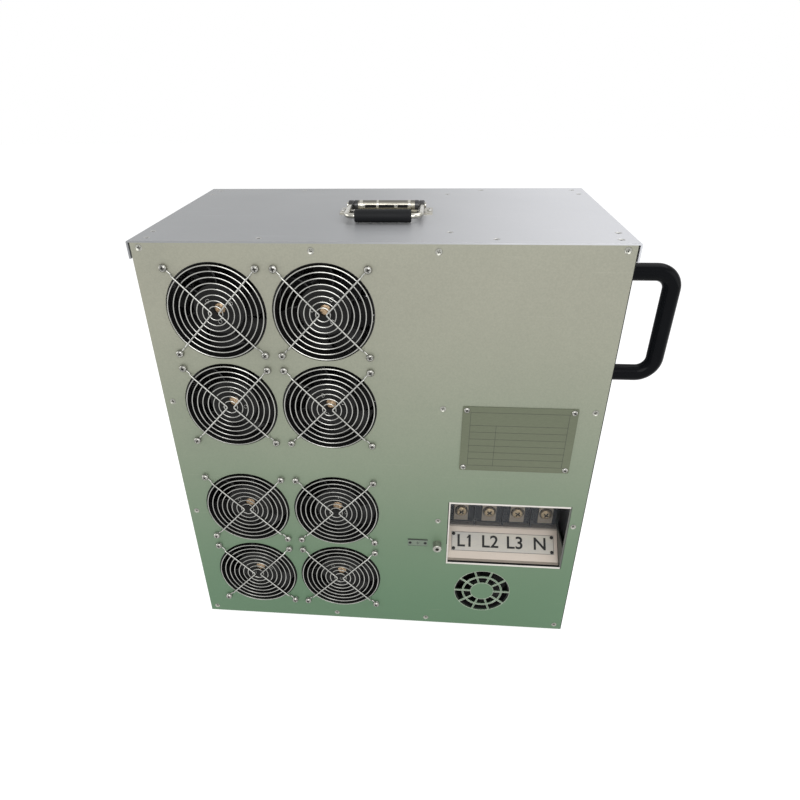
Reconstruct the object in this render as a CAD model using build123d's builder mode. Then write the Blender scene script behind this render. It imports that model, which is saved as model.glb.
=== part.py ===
from build123d import *
import os

# A portable generator load bank: a folded sheet case, eight guarded axial fans, a resistor rack,
# a recessed four-pole terminal bay, a carrying bail on top and a tube handle on one side.

# ---- driving dimensions, in millimetres --------------------------------------------------------
# case
case_w, case_d, case_h = 544.0, 302.0, 584.0
panel_t = 2.0  # front and rear panels
cover_t = 2.0  # top cover
sheet_t = 1.5  # folded side trays, base, rails and partition
flange_w = 15.0  # return flanges that the panels screw to
cover_overhang = 4.0  # the cover's side lips stand off the case
cover_lip = 20.0
seam = 0.2  # gap between neighbouring folded sheets
foot_h, foot_r = 8.0, 14.0
foot_inset = 45.0

# fans and their guards
fan_size, fan_depth = 119.5, 38.0
fan_bore_r = 58.0
fan_hole_pitch = 105.0
fan_pitch_x, fan_pitch_z = 125.4, 124.8
fan_left = 86.0  # first fan's axis from the case's left face
fan_bottom = 87.3  # lowest fan's axis above the case's underside
fan_group_gap = 40.3  # extra height between the lower and the upper four
fan_opening_r = 59.4
ring_count, ring_inner_r, ring_pitch = 8, 8.4, 6.85
ring_wire_r, spoke_wire_r = 0.8, 1.0
guard_rise = 4.8  # spoke wires stand this far off the panel
spoke_apex = 3.6  # each bent spoke wire turns back this far from the axis
eye_r, eye_t, eye_shoulder, step_run = 4.6, 2.0, 61.5, 1.0
hub_r, hub_depth, hub_front = 31.0, 24.0, 5.0
blade_count, blade_chord, blade_t, blade_pitch, blade_tip = 7, 30.0, 1.8, 40.0, 54.0
motor_t, motor_boss_r, strut_w = 5.0, 9.0, 6.0
shaft_r, running_gap, end_gap = 3.0, 0.08, 0.5

# small cooling fan and its punched vent
vent_right, vent_z = 123.0, 72.4  # from the case's right face, and above its underside
vent_r, vent_rib_out, vent_rib_in, vent_disc_r = 40.2, 29.0, 27.0, 16.6
vent_spokes, vent_spoke_w = 10, 2.0
aux_size, aux_depth, aux_bore_r, aux_hole_pitch, aux_hub_r = 80.0, 25.0, 38.0, 71.5, 17.0
aux_hub_depth, aux_blades, stud_r, stud_len = 17.0, 7, 1.9, 6.0

# terminal bay
bay_right, bay_z, bay_w, bay_h = 16.0, 125.0, 162.5, 112.0
bay_fit, bay_wall, bay_border = 0.5, 2.0, 10.0
cheek_over = 3.0  # the side cheeks stand this far above the ramp
bay_depth = 90.0  # panel face to the front of the bay's rear wall
ramp_foot, ramp_front, ramp_back, ramp_rise = 3.0, 9.2, 46.0, 31.4
ramp_fit = 0.5
block_side, block_h, block_d = 2.55, 67.0, 40.0
block_lift = 35.5  # underside of the block above the bay's floor
pole_count, pole_end, barrier_w, barrier_h = 4, 15.9, 2.4, 7.0
lug_w, lug_h, lug_t, lug_low = 20.0, 54.0, 3.0, 4.5
lug_slot_d, lug_slot_rim = 16.0, 10.0
row_low, row_pitch = 22.0, 26.0  # terminal screws above the block's underside
lug_screw_r, lug_screw_h, lug_shank_r, lug_shank = 8.3, 4.5, 4.0, 14.0
clear_t, clear_fit, clear_lap, clear_front = 1.5, 0.3, 6.0, 39.0
tag_side, tag_h, tag_t, tag_hole_in = 5.75, 27.0, 0.8, 3.0
rivet_r, rivet_h, rivet_shank_r = 2.1, 0.9, 1.0

# plates and earth terminal
plate_right, plate_z, plate_w, plate_h, plate_t = 98.8, 339.2, 138.5, 94.5, 1.0
plate_hole_in = 5.0
plate_screw_r, plate_head_r, plate_head_h = 1.5, 2.9, 1.6
marker_gap, marker_z, marker_w, marker_h, marker_t = 27.5, 162.8, 27.8, 12.3, 0.8
earth_gap, earth_z, earth_r, earth_len = 13.2, 161.6, 6.0, 12.0  # gap to the terminal bay
earth_thread_r, earth_thread_depth, earth_shank, earth_edge = 2.5, 10.0, 5.5, 0.8

# case screws
corner_in, corner_drop = 9.5, 7.5  # upper corners of the panels, from the sides and the top
screw_in, screw_low, screw_drop = 10.0, 9.0, 10.0
screw_mid_left, screw_mid_right = 202.0, 5.0  # the second is how far it lies left of the partition
screw_row_low, screw_row_high, screw_flange = 203.0, 381.5, 7.0
cover_in, cover_edge, cover_row_in = 14.0, 15.0, 43.5
cover_mid_left, cover_mid_right = 142.0, 143.0
csk_r, csk_head_r, csk_len = 2.0, 4.0, 6.0
screw_gap = 0.1
pan_head_r, pan_head_h = 4.3, 3.0
partition_gap = 20.5  # between the partition and the terminal bay

# side handle
grip_y, grip_drop, grip_span = 70.0, 51.0, 130.0
grip_reach, grip_bend = 70.0, 21.0
grip_a, grip_b = 9.6, 10.4
bolt_r, bolt_depth, bolt_head_r, bolt_head_h = 4.0, 18.0, 6.5, 5.0
rosette_r, rosette_t = 13.0, 4.0

# top bail
hinge_y, hinge_h, bail_shift = 146.0, 8.2, 2.0
bail_reach, bail_half, bail_wire_r, bail_bend = 61.0, 44.5, 3.0, 10.0
bail_base_w, bail_base_d, bail_base_t = 116.0, 32.0, 1.6
bail_hole_in, bail_screw_r, bail_head_r, bail_head_h = 3.6, 1.6, 3.0, 2.2
barrel_half, barrel_r, barrel_bore_r, barrel_web, barrel_cap = 38.5, 5.8, 4.6, 5.0, 4.0
pin_r, pin_fit, pin_head_r, pin_head_t, knuckle_r, knuckle_w = 2.3, 0.06, 3.5, 1.5, 5.8, 7.0
pin_spare = 0.3
bail_grip_r, bail_grip_len = 7.5, 67.0
spring_out_r, spring_in_r, spring_half = 4.3, 2.7, 30.0

# resistor rack and controls
rack_front, rack_back, rack_top_gap = 78.0, 34.0, 44.0
rack_left, rack_right = 30.0, 316.0
element_rows, element_cols, element_r, element_over = 8, 2, 8.0, 8.0
element_pitch_y, element_low, element_top = 90.0, 54.0, 52.0
tray_back, tray_low, tray_top_gap, tray_t = 66.0, 262.0, 36.0, 2.0
contactor_w, contactor_h, contactor_d = 42.0, 84.0, 80.0
contactor_count, contactor_pitch, contactor_drop = 3, 52.0, 78.0
board_w, board_h, board_t, standoff_h, standoff_r = 150.0, 95.0, 1.6, 8.0, 3.0
board_rise, standoff_in = 88.0, 6.0
chip_sizes = [(-50, 20, 32, 28, 18), (-8, 24, 24, 20, 12), (34, 22, 36, 30, 22), (-40, -26, 44, 12, 8),
              (20, -24, 18, 18, 10)]

# rear outlet
slot_rows, slot_cols, slot_len, slot_h = 30, 4, 62.0, 7.0
slot_pitch_x, slot_left, slot_low, slot_top = 72.0, 66.0, 56.0, 49.5

# ---- derived places: the origin is the middle of the whole part's underside --------------------
handle_out = grip_reach + grip_b
x0 = -(cover_overhang + case_w + handle_out) / 2 + cover_overhang
y0 = -(earth_len + case_d) / 2 + earth_len
z0 = foot_h
z_cover = z0 + case_h - cover_t
z_top = z0 + case_h
panel_h = case_h - cover_t
front = Plane(origin=(x0, y0, z0), x_dir=(1, 0, 0), z_dir=(0, -1, 0))
rear = Plane(origin=(x0, y0 + case_d, z0), x_dir=(1, 0, 0), z_dir=(0, -1, 0))
top = Plane(origin=(x0, y0, z_top), x_dir=(1, 0, 0), z_dir=(0, 0, 1))
fan_columns = [fan_left + i * fan_pitch_x for i in range(2)]
fan_rows = [fan_bottom + j * fan_pitch_z + (fan_group_gap if j > 1 else 0) for j in range(4)]
fan_centres = [(x, z) for z in reversed(fan_rows) for x in fan_columns]
bay_x = case_w - bay_right - bay_w
bay_mid = bay_x + bay_w / 2
partition_x = bay_x - partition_gap
earth_x = bay_x - earth_gap
marker_x = earth_x - marker_gap
vent_x = case_w - vent_right
plate_x = case_w - plate_right
grip_high = case_h - grip_drop
grip_low = grip_high - grip_span
bay_in_w = bay_w - 2 * bay_fit - 2 * bay_wall
bay_floor = bay_z + bay_fit + bay_wall
block_w = bay_in_w - 2 * block_side
pole_pitch = (block_w - 2 * pole_end) / (pole_count - 1)
tag_w = bay_in_w - 2 * tag_side
block_front = bay_depth - block_d
block_low = bay_floor + block_lift
pole_x = [bay_mid + (i - (pole_count - 1) / 2) * pole_pitch for i in range(pole_count)]
case_mid = case_w / 2
bail_x, bail_y, bail_z = x0 + case_mid + bail_shift, y0 + hinge_y, z_top + hinge_h
bail_hole_pitch = bail_base_w - 2 * bail_hole_in
rack_depth = case_d - rack_front - rack_back
rack_high = case_h - rack_top_gap
element_pitch_z = (rack_high - element_low - element_top) / (element_rows - 1)
tray_y = case_d - tray_back
tray_h = case_h - tray_top_gap - tray_low
contactor_z = tray_low + tray_h - contactor_drop
board_z = tray_low + board_rise
slot_pitch_z = (case_h - slot_low - slot_top) / (slot_rows - 1)
screw_left, screw_right = screw_in, case_w - screw_in
mid_columns = (screw_mid_left, partition_x - screw_mid_right)
panel_screws = [(corner_in, case_h - corner_drop), (case_w - corner_in, case_h - corner_drop)]
panel_screws += [(x, z) for x in mid_columns for z in (case_h - screw_drop, screw_low)]
panel_screws += [(x, z) for x in (screw_left, screw_right) for z in (screw_low, screw_row_low, screw_row_high)]
panel_screws += [(partition_x + screw_flange, z) for z in (screw_row_low, screw_row_high)]
cover_columns = (cover_in, cover_mid_left, case_w - cover_mid_right, case_w - cover_in)
cover_screws = [(x, y) for x in cover_columns for y in (cover_edge, case_d - cover_edge)]
cover_screws += [(x, y) for x in (screw_left, screw_right, partition_x + screw_flange)
                 for y in (cover_row_in, case_d - cover_row_in)]

os.makedirs("parts", exist_ok=True)


def save(part, label):
    """Labels a finished piece and writes its STEP file."""
    part.label = label
    export_step(part, f"parts/{label}.step")


def slab(x1, x2, y1, y2, z1, z2, mode=Mode.ADD):
    """A block between two corners, measured from the case's lower left front corner."""
    with Locations((x0 + (x1 + x2) / 2, y0 + (y1 + y2) / 2, z0 + (z1 + z2) / 2)):
        Box(x2 - x1, y2 - y1, z2 - z1, mode=mode)


def square(pitch):
    """The four corner points of a square hole pattern."""
    return [(sx * pitch / 2, sz * pitch / 2) for sx in (-1, 1) for sz in (-1, 1)]


def fan_plane(y):
    """A plane across a fan's axis, facing into the case."""
    return Plane(origin=(0, y, 0), x_dir=(1, 0, 0), z_dir=(0, 1, 0))


def at(x, z, y=0.0):
    """The place of a piece modelled about its own axis, put at a point of the front face."""
    return Location((x0 + x, y0 + y, z0 + z))


# ---- case ----------------------------------------------------------------------------------------
def side_tray(sign):
    """One folded side: a web with front, rear and top return flanges."""
    wall = 0.0 if sign < 0 else case_w
    depth = (wall, wall - sign * flange_w)
    inner = (wall - sign * sheet_t, wall - sign * (flange_w + 1))
    with BuildPart() as tray:
        slab(min(depth), max(depth), panel_t, case_d - panel_t, 0, panel_h)
        slab(min(inner), max(inner), panel_t + sheet_t, case_d - panel_t - sheet_t, -1, panel_h - sheet_t,
             Mode.SUBTRACT)
        if sign > 0:
            with Locations(*[Location((x0 + case_w, y0 + grip_y, z0 + z), (0, 90, 0))
                             for z in (grip_low, grip_high)]):
                Hole(bolt_r + screw_gap, depth=2 * sheet_t)
        for plane, points in ((front, panel_screws), (rear, panel_screws)):
            with Locations(*[plane.location * Location((x, z, 0)) for x, z in points]):
                Cylinder(csk_r + screw_gap, 4 * panel_t + 2 * csk_len, mode=Mode.SUBTRACT)
        with Locations(*[top.location * Location((x, y, 0)) for x, y in cover_screws]):
            Cylinder(csk_r + screw_gap, 2 * csk_len + cover_t, mode=Mode.SUBTRACT)
    return tray.part


def cut_screw_holes(plane, points):
    """Clearance holes for the case screws through whatever sheet lies behind a panel."""
    with Locations(*[plane.location * Location((x, z, 0)) for x, z in points]):
        Cylinder(csk_r + screw_gap, 4 * panel_t + 2 * csk_len, mode=Mode.SUBTRACT)


save(side_tray(-1), "left_side_panel")
save(side_tray(1), "right_side_panel")

with BuildPart() as base_tray:
    slab(sheet_t, case_w - sheet_t, panel_t + sheet_t, case_d - panel_t - sheet_t, 0, sheet_t)
    for y in (panel_t, case_d - panel_t - sheet_t):
        slab(flange_w + seam, case_w - flange_w - seam, y, y + sheet_t, 0, flange_w)
    cut_screw_holes(front, panel_screws)
    cut_screw_holes(rear, panel_screws)
    with Locations(*[(x0 + x, y0 + y, z0) for x in (foot_inset, case_w - foot_inset)
                     for y in (foot_inset, case_d - foot_inset)]):
        Hole(csk_r + screw_gap, depth=4 * sheet_t)
save(base_tray.part, "base_tray")

rails = []
for web_y, leg_y in ((panel_t, panel_t), (case_d - panel_t - sheet_t, case_d - panel_t - flange_w)):
    with BuildPart() as rail:
        slab(flange_w + seam, case_w - flange_w - seam, web_y, web_y + sheet_t, panel_h - flange_w, panel_h)
        slab(flange_w + seam, case_w - flange_w - seam, leg_y, leg_y + flange_w, panel_h - sheet_t, panel_h)
        cut_screw_holes(front if leg_y == panel_t else rear, panel_screws)
        cut_screw_holes(top, cover_screws)
    rails.append(rail.part)
save(Compound(children=rails), "top_rails")

with BuildPart() as partition:
    slab(partition_x, partition_x + sheet_t, panel_t + sheet_t + seam, case_d - panel_t - sheet_t - seam,
         sheet_t, panel_h - sheet_t - seam)
    slab(partition_x, partition_x + flange_w, panel_t, panel_t + sheet_t, flange_w + seam,
         panel_h - flange_w - seam)
    slab(partition_x, partition_x + sheet_t, panel_t, 2 * flange_w, flange_w + seam, panel_h - flange_w - seam)
    slab(partition_x, partition_x + flange_w, panel_t + flange_w + seam,
         case_d - panel_t - flange_w - seam, panel_h - sheet_t, panel_h)
    slab(partition_x, partition_x + sheet_t, panel_t + flange_w + seam,
         case_d - panel_t - flange_w - seam, panel_h - 2 * flange_w, panel_h)
    cut_screw_holes(front, panel_screws + [(earth_x, earth_z)])
    cut_screw_holes(rear, panel_screws)
    cut_screw_holes(top, cover_screws)
save(partition.part, "partition")


def vent_sketch():
    """The punched vent: two rings of slots between radial webs round a plain disc."""
    Circle(vent_r)
    Circle(vent_rib_out, mode=Mode.SUBTRACT)
    Circle(vent_rib_in)
    Circle(vent_disc_r, mode=Mode.SUBTRACT)
    web_mid = (vent_r + vent_disc_r) / 2
    with PolarLocations(web_mid, vent_spokes):
        Rectangle(vent_r - vent_disc_r + 2, vent_spoke_w, mode=Mode.SUBTRACT)


with BuildPart() as front_panel:
    with BuildSketch(front):
        with Locations((case_mid, panel_h / 2)):
            Rectangle(case_w, panel_h)
        with Locations(*fan_centres):
            Circle(fan_opening_r, mode=Mode.SUBTRACT)
        with Locations(*[(cx + dx, cz + dz) for cx, cz in fan_centres for dx, dz in square(fan_hole_pitch)]):
            Circle(csk_r + screw_gap, mode=Mode.SUBTRACT)
        with Locations((bay_mid, bay_z + bay_h / 2)):
            Rectangle(bay_w, bay_h, mode=Mode.SUBTRACT)
        with Locations((earth_x, earth_z)):
            Circle(csk_r + screw_gap, mode=Mode.SUBTRACT)
    extrude(amount=-panel_t)
    with BuildSketch(Plane(front.location * Location((vent_x, vent_z, 0)))):
        vent_sketch()
    extrude(amount=-panel_t, mode=Mode.SUBTRACT)
    with BuildSketch(Plane(front.location * Location((vent_x, vent_z, -panel_t)))):
        with Locations(*square(aux_hole_pitch)):
            Circle(stud_r)
    extrude(amount=-stud_len)
    with Locations(*[front.location * Location((x, z, 0)) for x, z in panel_screws]):
        CounterSinkHole(csk_r + screw_gap, csk_head_r + screw_gap, depth=2 * panel_t)
save(front_panel.part, "front_panel")

with BuildPart() as rear_panel:
    with BuildSketch(rear):
        with Locations((case_mid, panel_h / 2)):
            Rectangle(case_w, panel_h)
        with Locations(*[(slot_left + i * slot_pitch_x, slot_low + j * slot_pitch_z)
                         for i in range(slot_cols) for j in range(slot_rows)]):
            SlotOverall(slot_len, slot_h, mode=Mode.SUBTRACT)
        with Locations(*panel_screws):
            Circle(csk_r + screw_gap, mode=Mode.SUBTRACT)
    extrude(amount=panel_t)
save(rear_panel.part, "rear_panel")

with BuildPart() as top_cover:
    slab(-cover_overhang, case_w + cover_overhang, 0, case_d, case_h - cover_lip, case_h)
    fillet(top_cover.edges().filter_by(Axis.Y).group_by(Axis.Z)[-1], radius=1.9)
    slab(cover_t - cover_overhang, case_w + cover_overhang - cover_t, -1, case_d + 1,
         case_h - cover_lip - 1, case_h - cover_t, Mode.SUBTRACT)
    with Locations(*[top.location * Location((x, y, 0)) for x, y in cover_screws]):
        CounterSinkHole(csk_r + screw_gap, csk_head_r + screw_gap, depth=2 * cover_t)
    with Locations(*[(bail_x + sx * bail_hole_pitch / 2, bail_y, z_top) for sx in (-1, 1)]):
        Hole(bail_screw_r + screw_gap, depth=2 * cover_t)
save(top_cover.part, "top_cover")


def sunk_screw(length):
    """A countersunk screw along -Z with its head flush at the origin."""
    with BuildPart() as screw:
        with BuildSketch(Plane.XZ):
            with BuildLine():
                Polyline((0, 0), (csk_head_r, 0), (csk_r, csk_r - csk_head_r), (csk_r, -length), (0, -length),
                         close=True)
            make_face()
        revolve(axis=Axis.Z)
    return screw.part


def domed_screw(length, radius=pan_head_r, rise=pan_head_h, shank=csk_r):
    """A domed-head screw along -Z, seated with its head's underside at the origin."""
    with BuildPart() as screw:
        with BuildSketch(Plane.XZ):
            with BuildLine():
                Polyline((0, rise), (0, -length), (shank, -length), (shank, 0), (radius, 0),
                         (radius, rise * 0.35), (radius * 0.85, rise * 0.8), (radius * 0.5, rise), close=True)
            make_face()
        revolve(axis=Axis.Z)
    return screw.part


def group(piece, places, label):
    """Copies of one fastener at many places, written as one node of separate solids."""
    save(Compound(children=[piece.moved(place) for place in places]), label)


rear_out = Plane(origin=(x0, y0 + case_d, z0), x_dir=(-1, 0, 0), z_dir=(0, 1, 0))
case_screws = [sunk_screw(csk_len).moved(place) for place in
               [front.location * Location((x, z, 0)) for x, z in panel_screws]
               + [top.location * Location((x, y, 0)) for x, y in cover_screws]]
case_screws += [domed_screw(csk_len).moved(rear_out.location * Location((-x, z, 0))) for x, z in panel_screws]


# ---- feet ----------------------------------------------------------------------------------------
foot_places = [Location((x0 + x, y0 + y, 0)) for x in (foot_inset, case_w - foot_inset)
               for y in (foot_inset, case_d - foot_inset)]
with BuildPart() as foot:
    with BuildSketch(Plane.XZ):
        with BuildLine():
            Polyline((csk_r + screw_gap, foot_h), (csk_r + screw_gap, foot_h / 2),
                     (pan_head_r + 0.6, foot_h / 2), (pan_head_r + 0.6, 0), (foot_r - 2, 0), (foot_r - 1, 1),
                     (foot_r, foot_h), close=True)
        make_face()
    revolve(axis=Axis.Z)
group(foot.part, foot_places, "feet")
foot_screw = domed_screw(foot_h / 2 + sheet_t + 3).rotate(Axis.X, 180)
case_screws += [foot_screw.moved(place * Location((0, 0, foot_h / 2))) for place in foot_places]


# ---- fans ----------------------------------------------------------------------------------------
def fan_frame(size, depth, bore_r, hole_pitch, hole_r, hub):
    """A square fan housing with a motor plate on struts across its inner end."""
    with BuildPart() as housing:
        with BuildSketch(fan_plane(panel_t)):
            RectangleRounded(size, size, 5.0)
            Circle(bore_r, mode=Mode.SUBTRACT)
        extrude(amount=depth)
        with BuildSketch(fan_plane(panel_t + depth - motor_t)):
            Circle(hub)
            with Locations((0, 0)):
                Rectangle(2 * bore_r + 2, strut_w, rotation=45)
                Rectangle(2 * bore_r + 2, strut_w, rotation=-45)
        extrude(amount=motor_t)
        with BuildSketch(fan_plane(panel_t)):
            with Locations(*square(hole_pitch)):
                Circle(hole_r)
        extrude(amount=depth, mode=Mode.SUBTRACT)
        with BuildSketch(fan_plane(panel_t + depth - motor_t)):
            Circle(shaft_r + running_gap)
        extrude(amount=motor_t, mode=Mode.SUBTRACT)
    return housing.part


def fan_rotor(hub, depth, frame_depth, tip, chord, count):
    """A hub with pitched blades and the shaft that runs in the motor plate."""
    hub_back = panel_t + frame_depth - motor_t - end_gap
    with BuildPart() as rotor:
        with BuildSketch(fan_plane(hub_back - depth)):
            Circle(hub)
        extrude(amount=depth)
        fillet(rotor.edges().group_by(Axis.Y)[0], radius=1.5)
        with BuildSketch(fan_plane(hub_back)):
            Circle(shaft_r)
        extrude(amount=end_gap + motor_t - 1)
        for k in range(count):
            turn = Location((0, hub_back - depth / 2, 0), (0, k * 360 / count, 0))
            with Locations(turn * Location(((hub + tip) / 2 - 1, 0, 0), (blade_pitch, 0, 0))):
                Box(tip - hub + 2, blade_t, chord)
    return rotor.part


frame_piece = fan_frame(fan_size, fan_depth, fan_bore_r, fan_hole_pitch, csk_r + screw_gap, hub_r)
rotor_piece = fan_rotor(hub_r, hub_depth, fan_depth, blade_tip, blade_chord, blade_count)

ring_radii = [ring_inner_r + k * ring_pitch for k in range(ring_count)]
eye_at = fan_hole_pitch / 2
eye_far = eye_at * 2 ** 0.5
with BuildPart() as guard:
    with BuildSketch(fan_plane(2 * spoke_wire_r - guard_rise)):
        for ring_r in reversed(ring_radii):
            RegularPolygon(ring_r + ring_wire_r, 16)
            RegularPolygon(ring_r - ring_wire_r, 16, mode=Mode.SUBTRACT)
    extrude(amount=2 * ring_wire_r)
    for side in (-1, 1):
        for end in (-1, 1):
            run = (side * (eye_at - spoke_apex), end * eye_at)
            reach = eye_shoulder / eye_far
            knee = (side * spoke_apex + run[0] * reach, run[1] * reach)
            step = 1 - step_run / eye_shoulder
            apex = (side * spoke_apex, -end * spoke_wire_r)
            with BuildSketch(fan_plane(-guard_rise)):
                with BuildLine():
                    spoke = Line(apex, knee)
                trace(line_width=2 * spoke_wire_r)
            extrude(amount=2 * spoke_wire_r + 0.3)
            with BuildSketch(fan_plane(-guard_rise)):
                with BuildLine():
                    Line((knee[0] * step, knee[1] * step), knee)
                trace(line_width=2 * spoke_wire_r)
            extrude(amount=guard_rise)
            with BuildSketch(fan_plane(-eye_t)):
                with BuildLine():
                    Line(knee, (side * eye_at, end * eye_at))
                trace(line_width=2 * spoke_wire_r)
                with Locations((side * eye_at, end * eye_at)):
                    Circle(eye_r)
                    Circle(csk_r + screw_gap, mode=Mode.SUBTRACT)
            extrude(amount=eye_t)

for index, (x, z) in enumerate(fan_centres, 1):
    save(frame_piece.moved(at(x, z)), f"fan_frame_{index}")
    save(rotor_piece.moved(at(x, z)), f"fan_rotor_{index}")
    save(guard.part.moved(at(x, z)), f"fan_guard_{index}")
fan_screw_places = [front.location * Location((cx + dx, cz + dz, eye_t)) for cx, cz in fan_centres
                    for dx, dz in square(fan_hole_pitch)]
group(domed_screw(eye_t + panel_t + 8), fan_screw_places, "fan_screws")

aux_frame = fan_frame(aux_size, aux_depth, aux_bore_r, aux_hole_pitch, stud_r + 0.2, aux_hub_r)
save(aux_frame.moved(at(vent_x, vent_z)), "vent_fan_frame")
aux_rotor = fan_rotor(aux_hub_r, aux_hub_depth, aux_depth, aux_bore_r - 2.5, 20.0, aux_blades)
save(aux_rotor.moved(at(vent_x, vent_z)), "vent_fan_rotor")

# ---- terminal bay --------------------------------------------------------------------------------
bay_out_x = (bay_x + bay_fit, bay_x + bay_w - bay_fit)
bay_out_z = (bay_z + bay_fit, bay_z + bay_h - bay_fit)
bay_in_x = (bay_out_x[0] + bay_wall, bay_out_x[1] - bay_wall)
bay_in_z = (bay_out_z[0] + bay_wall, bay_out_z[1] - bay_wall)
with BuildPart() as bay_liner:
    slab(*bay_out_x, 0, bay_depth + bay_wall, *bay_out_z)
    slab(*bay_in_x, -1, bay_depth, *bay_in_z, Mode.SUBTRACT)
    slab(bay_x, bay_x + bay_w, panel_t, bay_depth, bay_floor + ramp_rise + cheek_over, bay_in_z[1], Mode.SUBTRACT)
    slab(bay_out_x[0], bay_out_x[1], panel_t, panel_t + sheet_t, bay_out_z[1], bay_out_z[1] + bay_border)
    slab(bay_out_x[0], bay_out_x[1], panel_t, panel_t + sheet_t, bay_out_z[0] - bay_border, bay_out_z[0])
save(bay_liner.part, "bay_liner")

ramp_x = (bay_in_x[0] + ramp_fit, bay_in_x[1] - ramp_fit)
ramp_side = Plane(origin=(x0 + ramp_x[0], y0, z0), x_dir=(0, 1, 0), z_dir=(1, 0, 0))
ramp_top = bay_floor + ramp_rise
with BuildPart() as cable_ramp:
    with BuildSketch(ramp_side):
        with BuildLine():
            Polyline((ramp_foot, bay_floor), (ramp_foot, bay_floor + sheet_t),
                     (ramp_front - sheet_t, bay_floor + sheet_t), (ramp_back - sheet_t, ramp_top + sheet_t),
                     (bay_depth, ramp_top + sheet_t), (bay_depth, ramp_top), (ramp_back, ramp_top),
                     (ramp_front, bay_floor), close=True)
        make_face()
    extrude(amount=ramp_x[1] - ramp_x[0])
save(cable_ramp.part, "cable_ramp")

face_mid = Vector(x0 + bay_mid, y0 + (ramp_front + ramp_back) / 2 - sheet_t,
                  z0 + bay_floor + ramp_rise / 2 + sheet_t)
slope = Plane(origin=face_mid, x_dir=(1, 0, 0), z_dir=(0, -ramp_rise, ramp_back - ramp_front))
tag_holes = [(sx * (tag_w / 2 - tag_hole_in), sy * (tag_h / 2 - tag_hole_in)) for sx in (-1, 1)
             for sy in (-1, 1)]
with BuildPart() as terminal_label:
    with BuildSketch(slope):
        Rectangle(tag_w, tag_h)
        with Locations(*tag_holes):
            Circle(rivet_shank_r + screw_gap, mode=Mode.SUBTRACT)
    extrude(amount=tag_t)
save(terminal_label.part, "terminal_label")
rivet = domed_screw(tag_t - screw_gap, rivet_r, rivet_h, rivet_shank_r)
plate_fixings = [rivet.moved(slope.location * Location((x, y, tag_t))) for x, y in tag_holes]

lug_base = block_low + lug_low
with BuildPart() as terminal_block:
    slab(bay_mid - block_w / 2, bay_mid + block_w / 2, block_front, bay_depth, block_low, block_low + block_h)
    barrier_x = [bay_mid + (i - (pole_count - 2) / 2) * pole_pitch for i in range(pole_count - 1)]
    for x in barrier_x:
        slab(x - barrier_w / 2, x + barrier_w / 2, block_front - barrier_h, block_front, block_low,
             block_low + block_h)
    with Locations(*[front.location * Location((x, block_low + row_low + j * row_pitch, -block_front))
                     for x in pole_x for j in range(2)]):
        Hole(lug_shank_r + screw_gap, depth=lug_shank)
    for x in pole_x:
        slab(x - lug_w / 2, x + lug_w / 2, bay_depth - lug_slot_d, bay_depth, block_low + lug_slot_rim,
             block_low + block_h - lug_slot_rim, Mode.SUBTRACT)
save(terminal_block.part, "terminal_block")

with BuildPart() as terminal_plates:
    for x in pole_x:
        slab(x - lug_w / 2, x + lug_w / 2, block_front - lug_t, block_front, lug_base, lug_base + lug_h)
    with Locations(*[front.location * Location((x, block_low + row_low + j * row_pitch, lug_t - block_front))
                     for x in pole_x for j in range(2)]):
        Hole(lug_shank_r + screw_gap, depth=2 * lug_t)
save(Compound(children=list(terminal_plates.solids())), "terminal_plates")
lug_screw = domed_screw(lug_shank, lug_screw_r, lug_screw_h, lug_shank_r)
group(lug_screw, [front.location * Location((x, block_low + row_low + j * row_pitch, lug_t - block_front))
                  for x in pole_x for j in range(2)], "terminal_screws")

clear_half = block_w / 2 + clear_fit + clear_t
clear_z = (block_low - clear_fit - clear_t, block_low + block_h + clear_fit + clear_t)
with BuildPart() as terminal_cover:
    slab(bay_mid - clear_half, bay_mid + clear_half, clear_front, block_front + clear_lap, *clear_z)
    slab(bay_mid - clear_half + clear_t, bay_mid + clear_half - clear_t, clear_front + clear_t,
         block_front + clear_lap + 1, clear_z[0] + clear_t, clear_z[1] - clear_t, Mode.SUBTRACT)
save(terminal_cover.part, "terminal_cover")

# ---- plates and earth terminal -------------------------------------------------------------------
plate_holes = [(plate_x + sx * (plate_w / 2 - plate_hole_in), plate_z + sz * (plate_h / 2 - plate_hole_in))
               for sx in (-1, 1) for sz in (-1, 1)]
with BuildPart() as nameplate:
    with BuildSketch(front):
        with Locations((plate_x, plate_z)):
            RectangleRounded(plate_w, plate_h, 2.0)
        with Locations(*plate_holes):
            Circle(plate_screw_r + screw_gap, mode=Mode.SUBTRACT)
    extrude(amount=plate_t)
save(nameplate.part, "nameplate")
plate_screw = domed_screw(plate_t - screw_gap, plate_head_r, plate_head_h, plate_screw_r)
plate_fixings += [plate_screw.moved(front.location * Location((x, z, plate_t))) for x, z in plate_holes]
save(Compound(children=plate_fixings), "plate_fixings")

with BuildPart() as earth_label:
    with BuildSketch(front):
        with Locations((marker_x, marker_z)):
            Rectangle(marker_w, marker_h)
    extrude(amount=marker_t)
save(earth_label.part, "earth_label")

with BuildPart() as earth_terminal:
    with BuildSketch(Plane(front.location * Location((earth_x, earth_z, 0)))):
        Circle(earth_r)
    extrude(amount=earth_len)
    chamfer(earth_terminal.edges().group_by(Axis.Y)[0], length=earth_edge)
    with BuildSketch(Plane(front.location * Location((earth_x, earth_z, -earth_shank)))):
        Circle(csk_r)
    extrude(amount=earth_shank)
    with Locations(front.location * Location((earth_x, earth_z, earth_len))):
        Hole(earth_thread_r, depth=earth_thread_depth)
save(earth_terminal.part, "earth_terminal")

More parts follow.
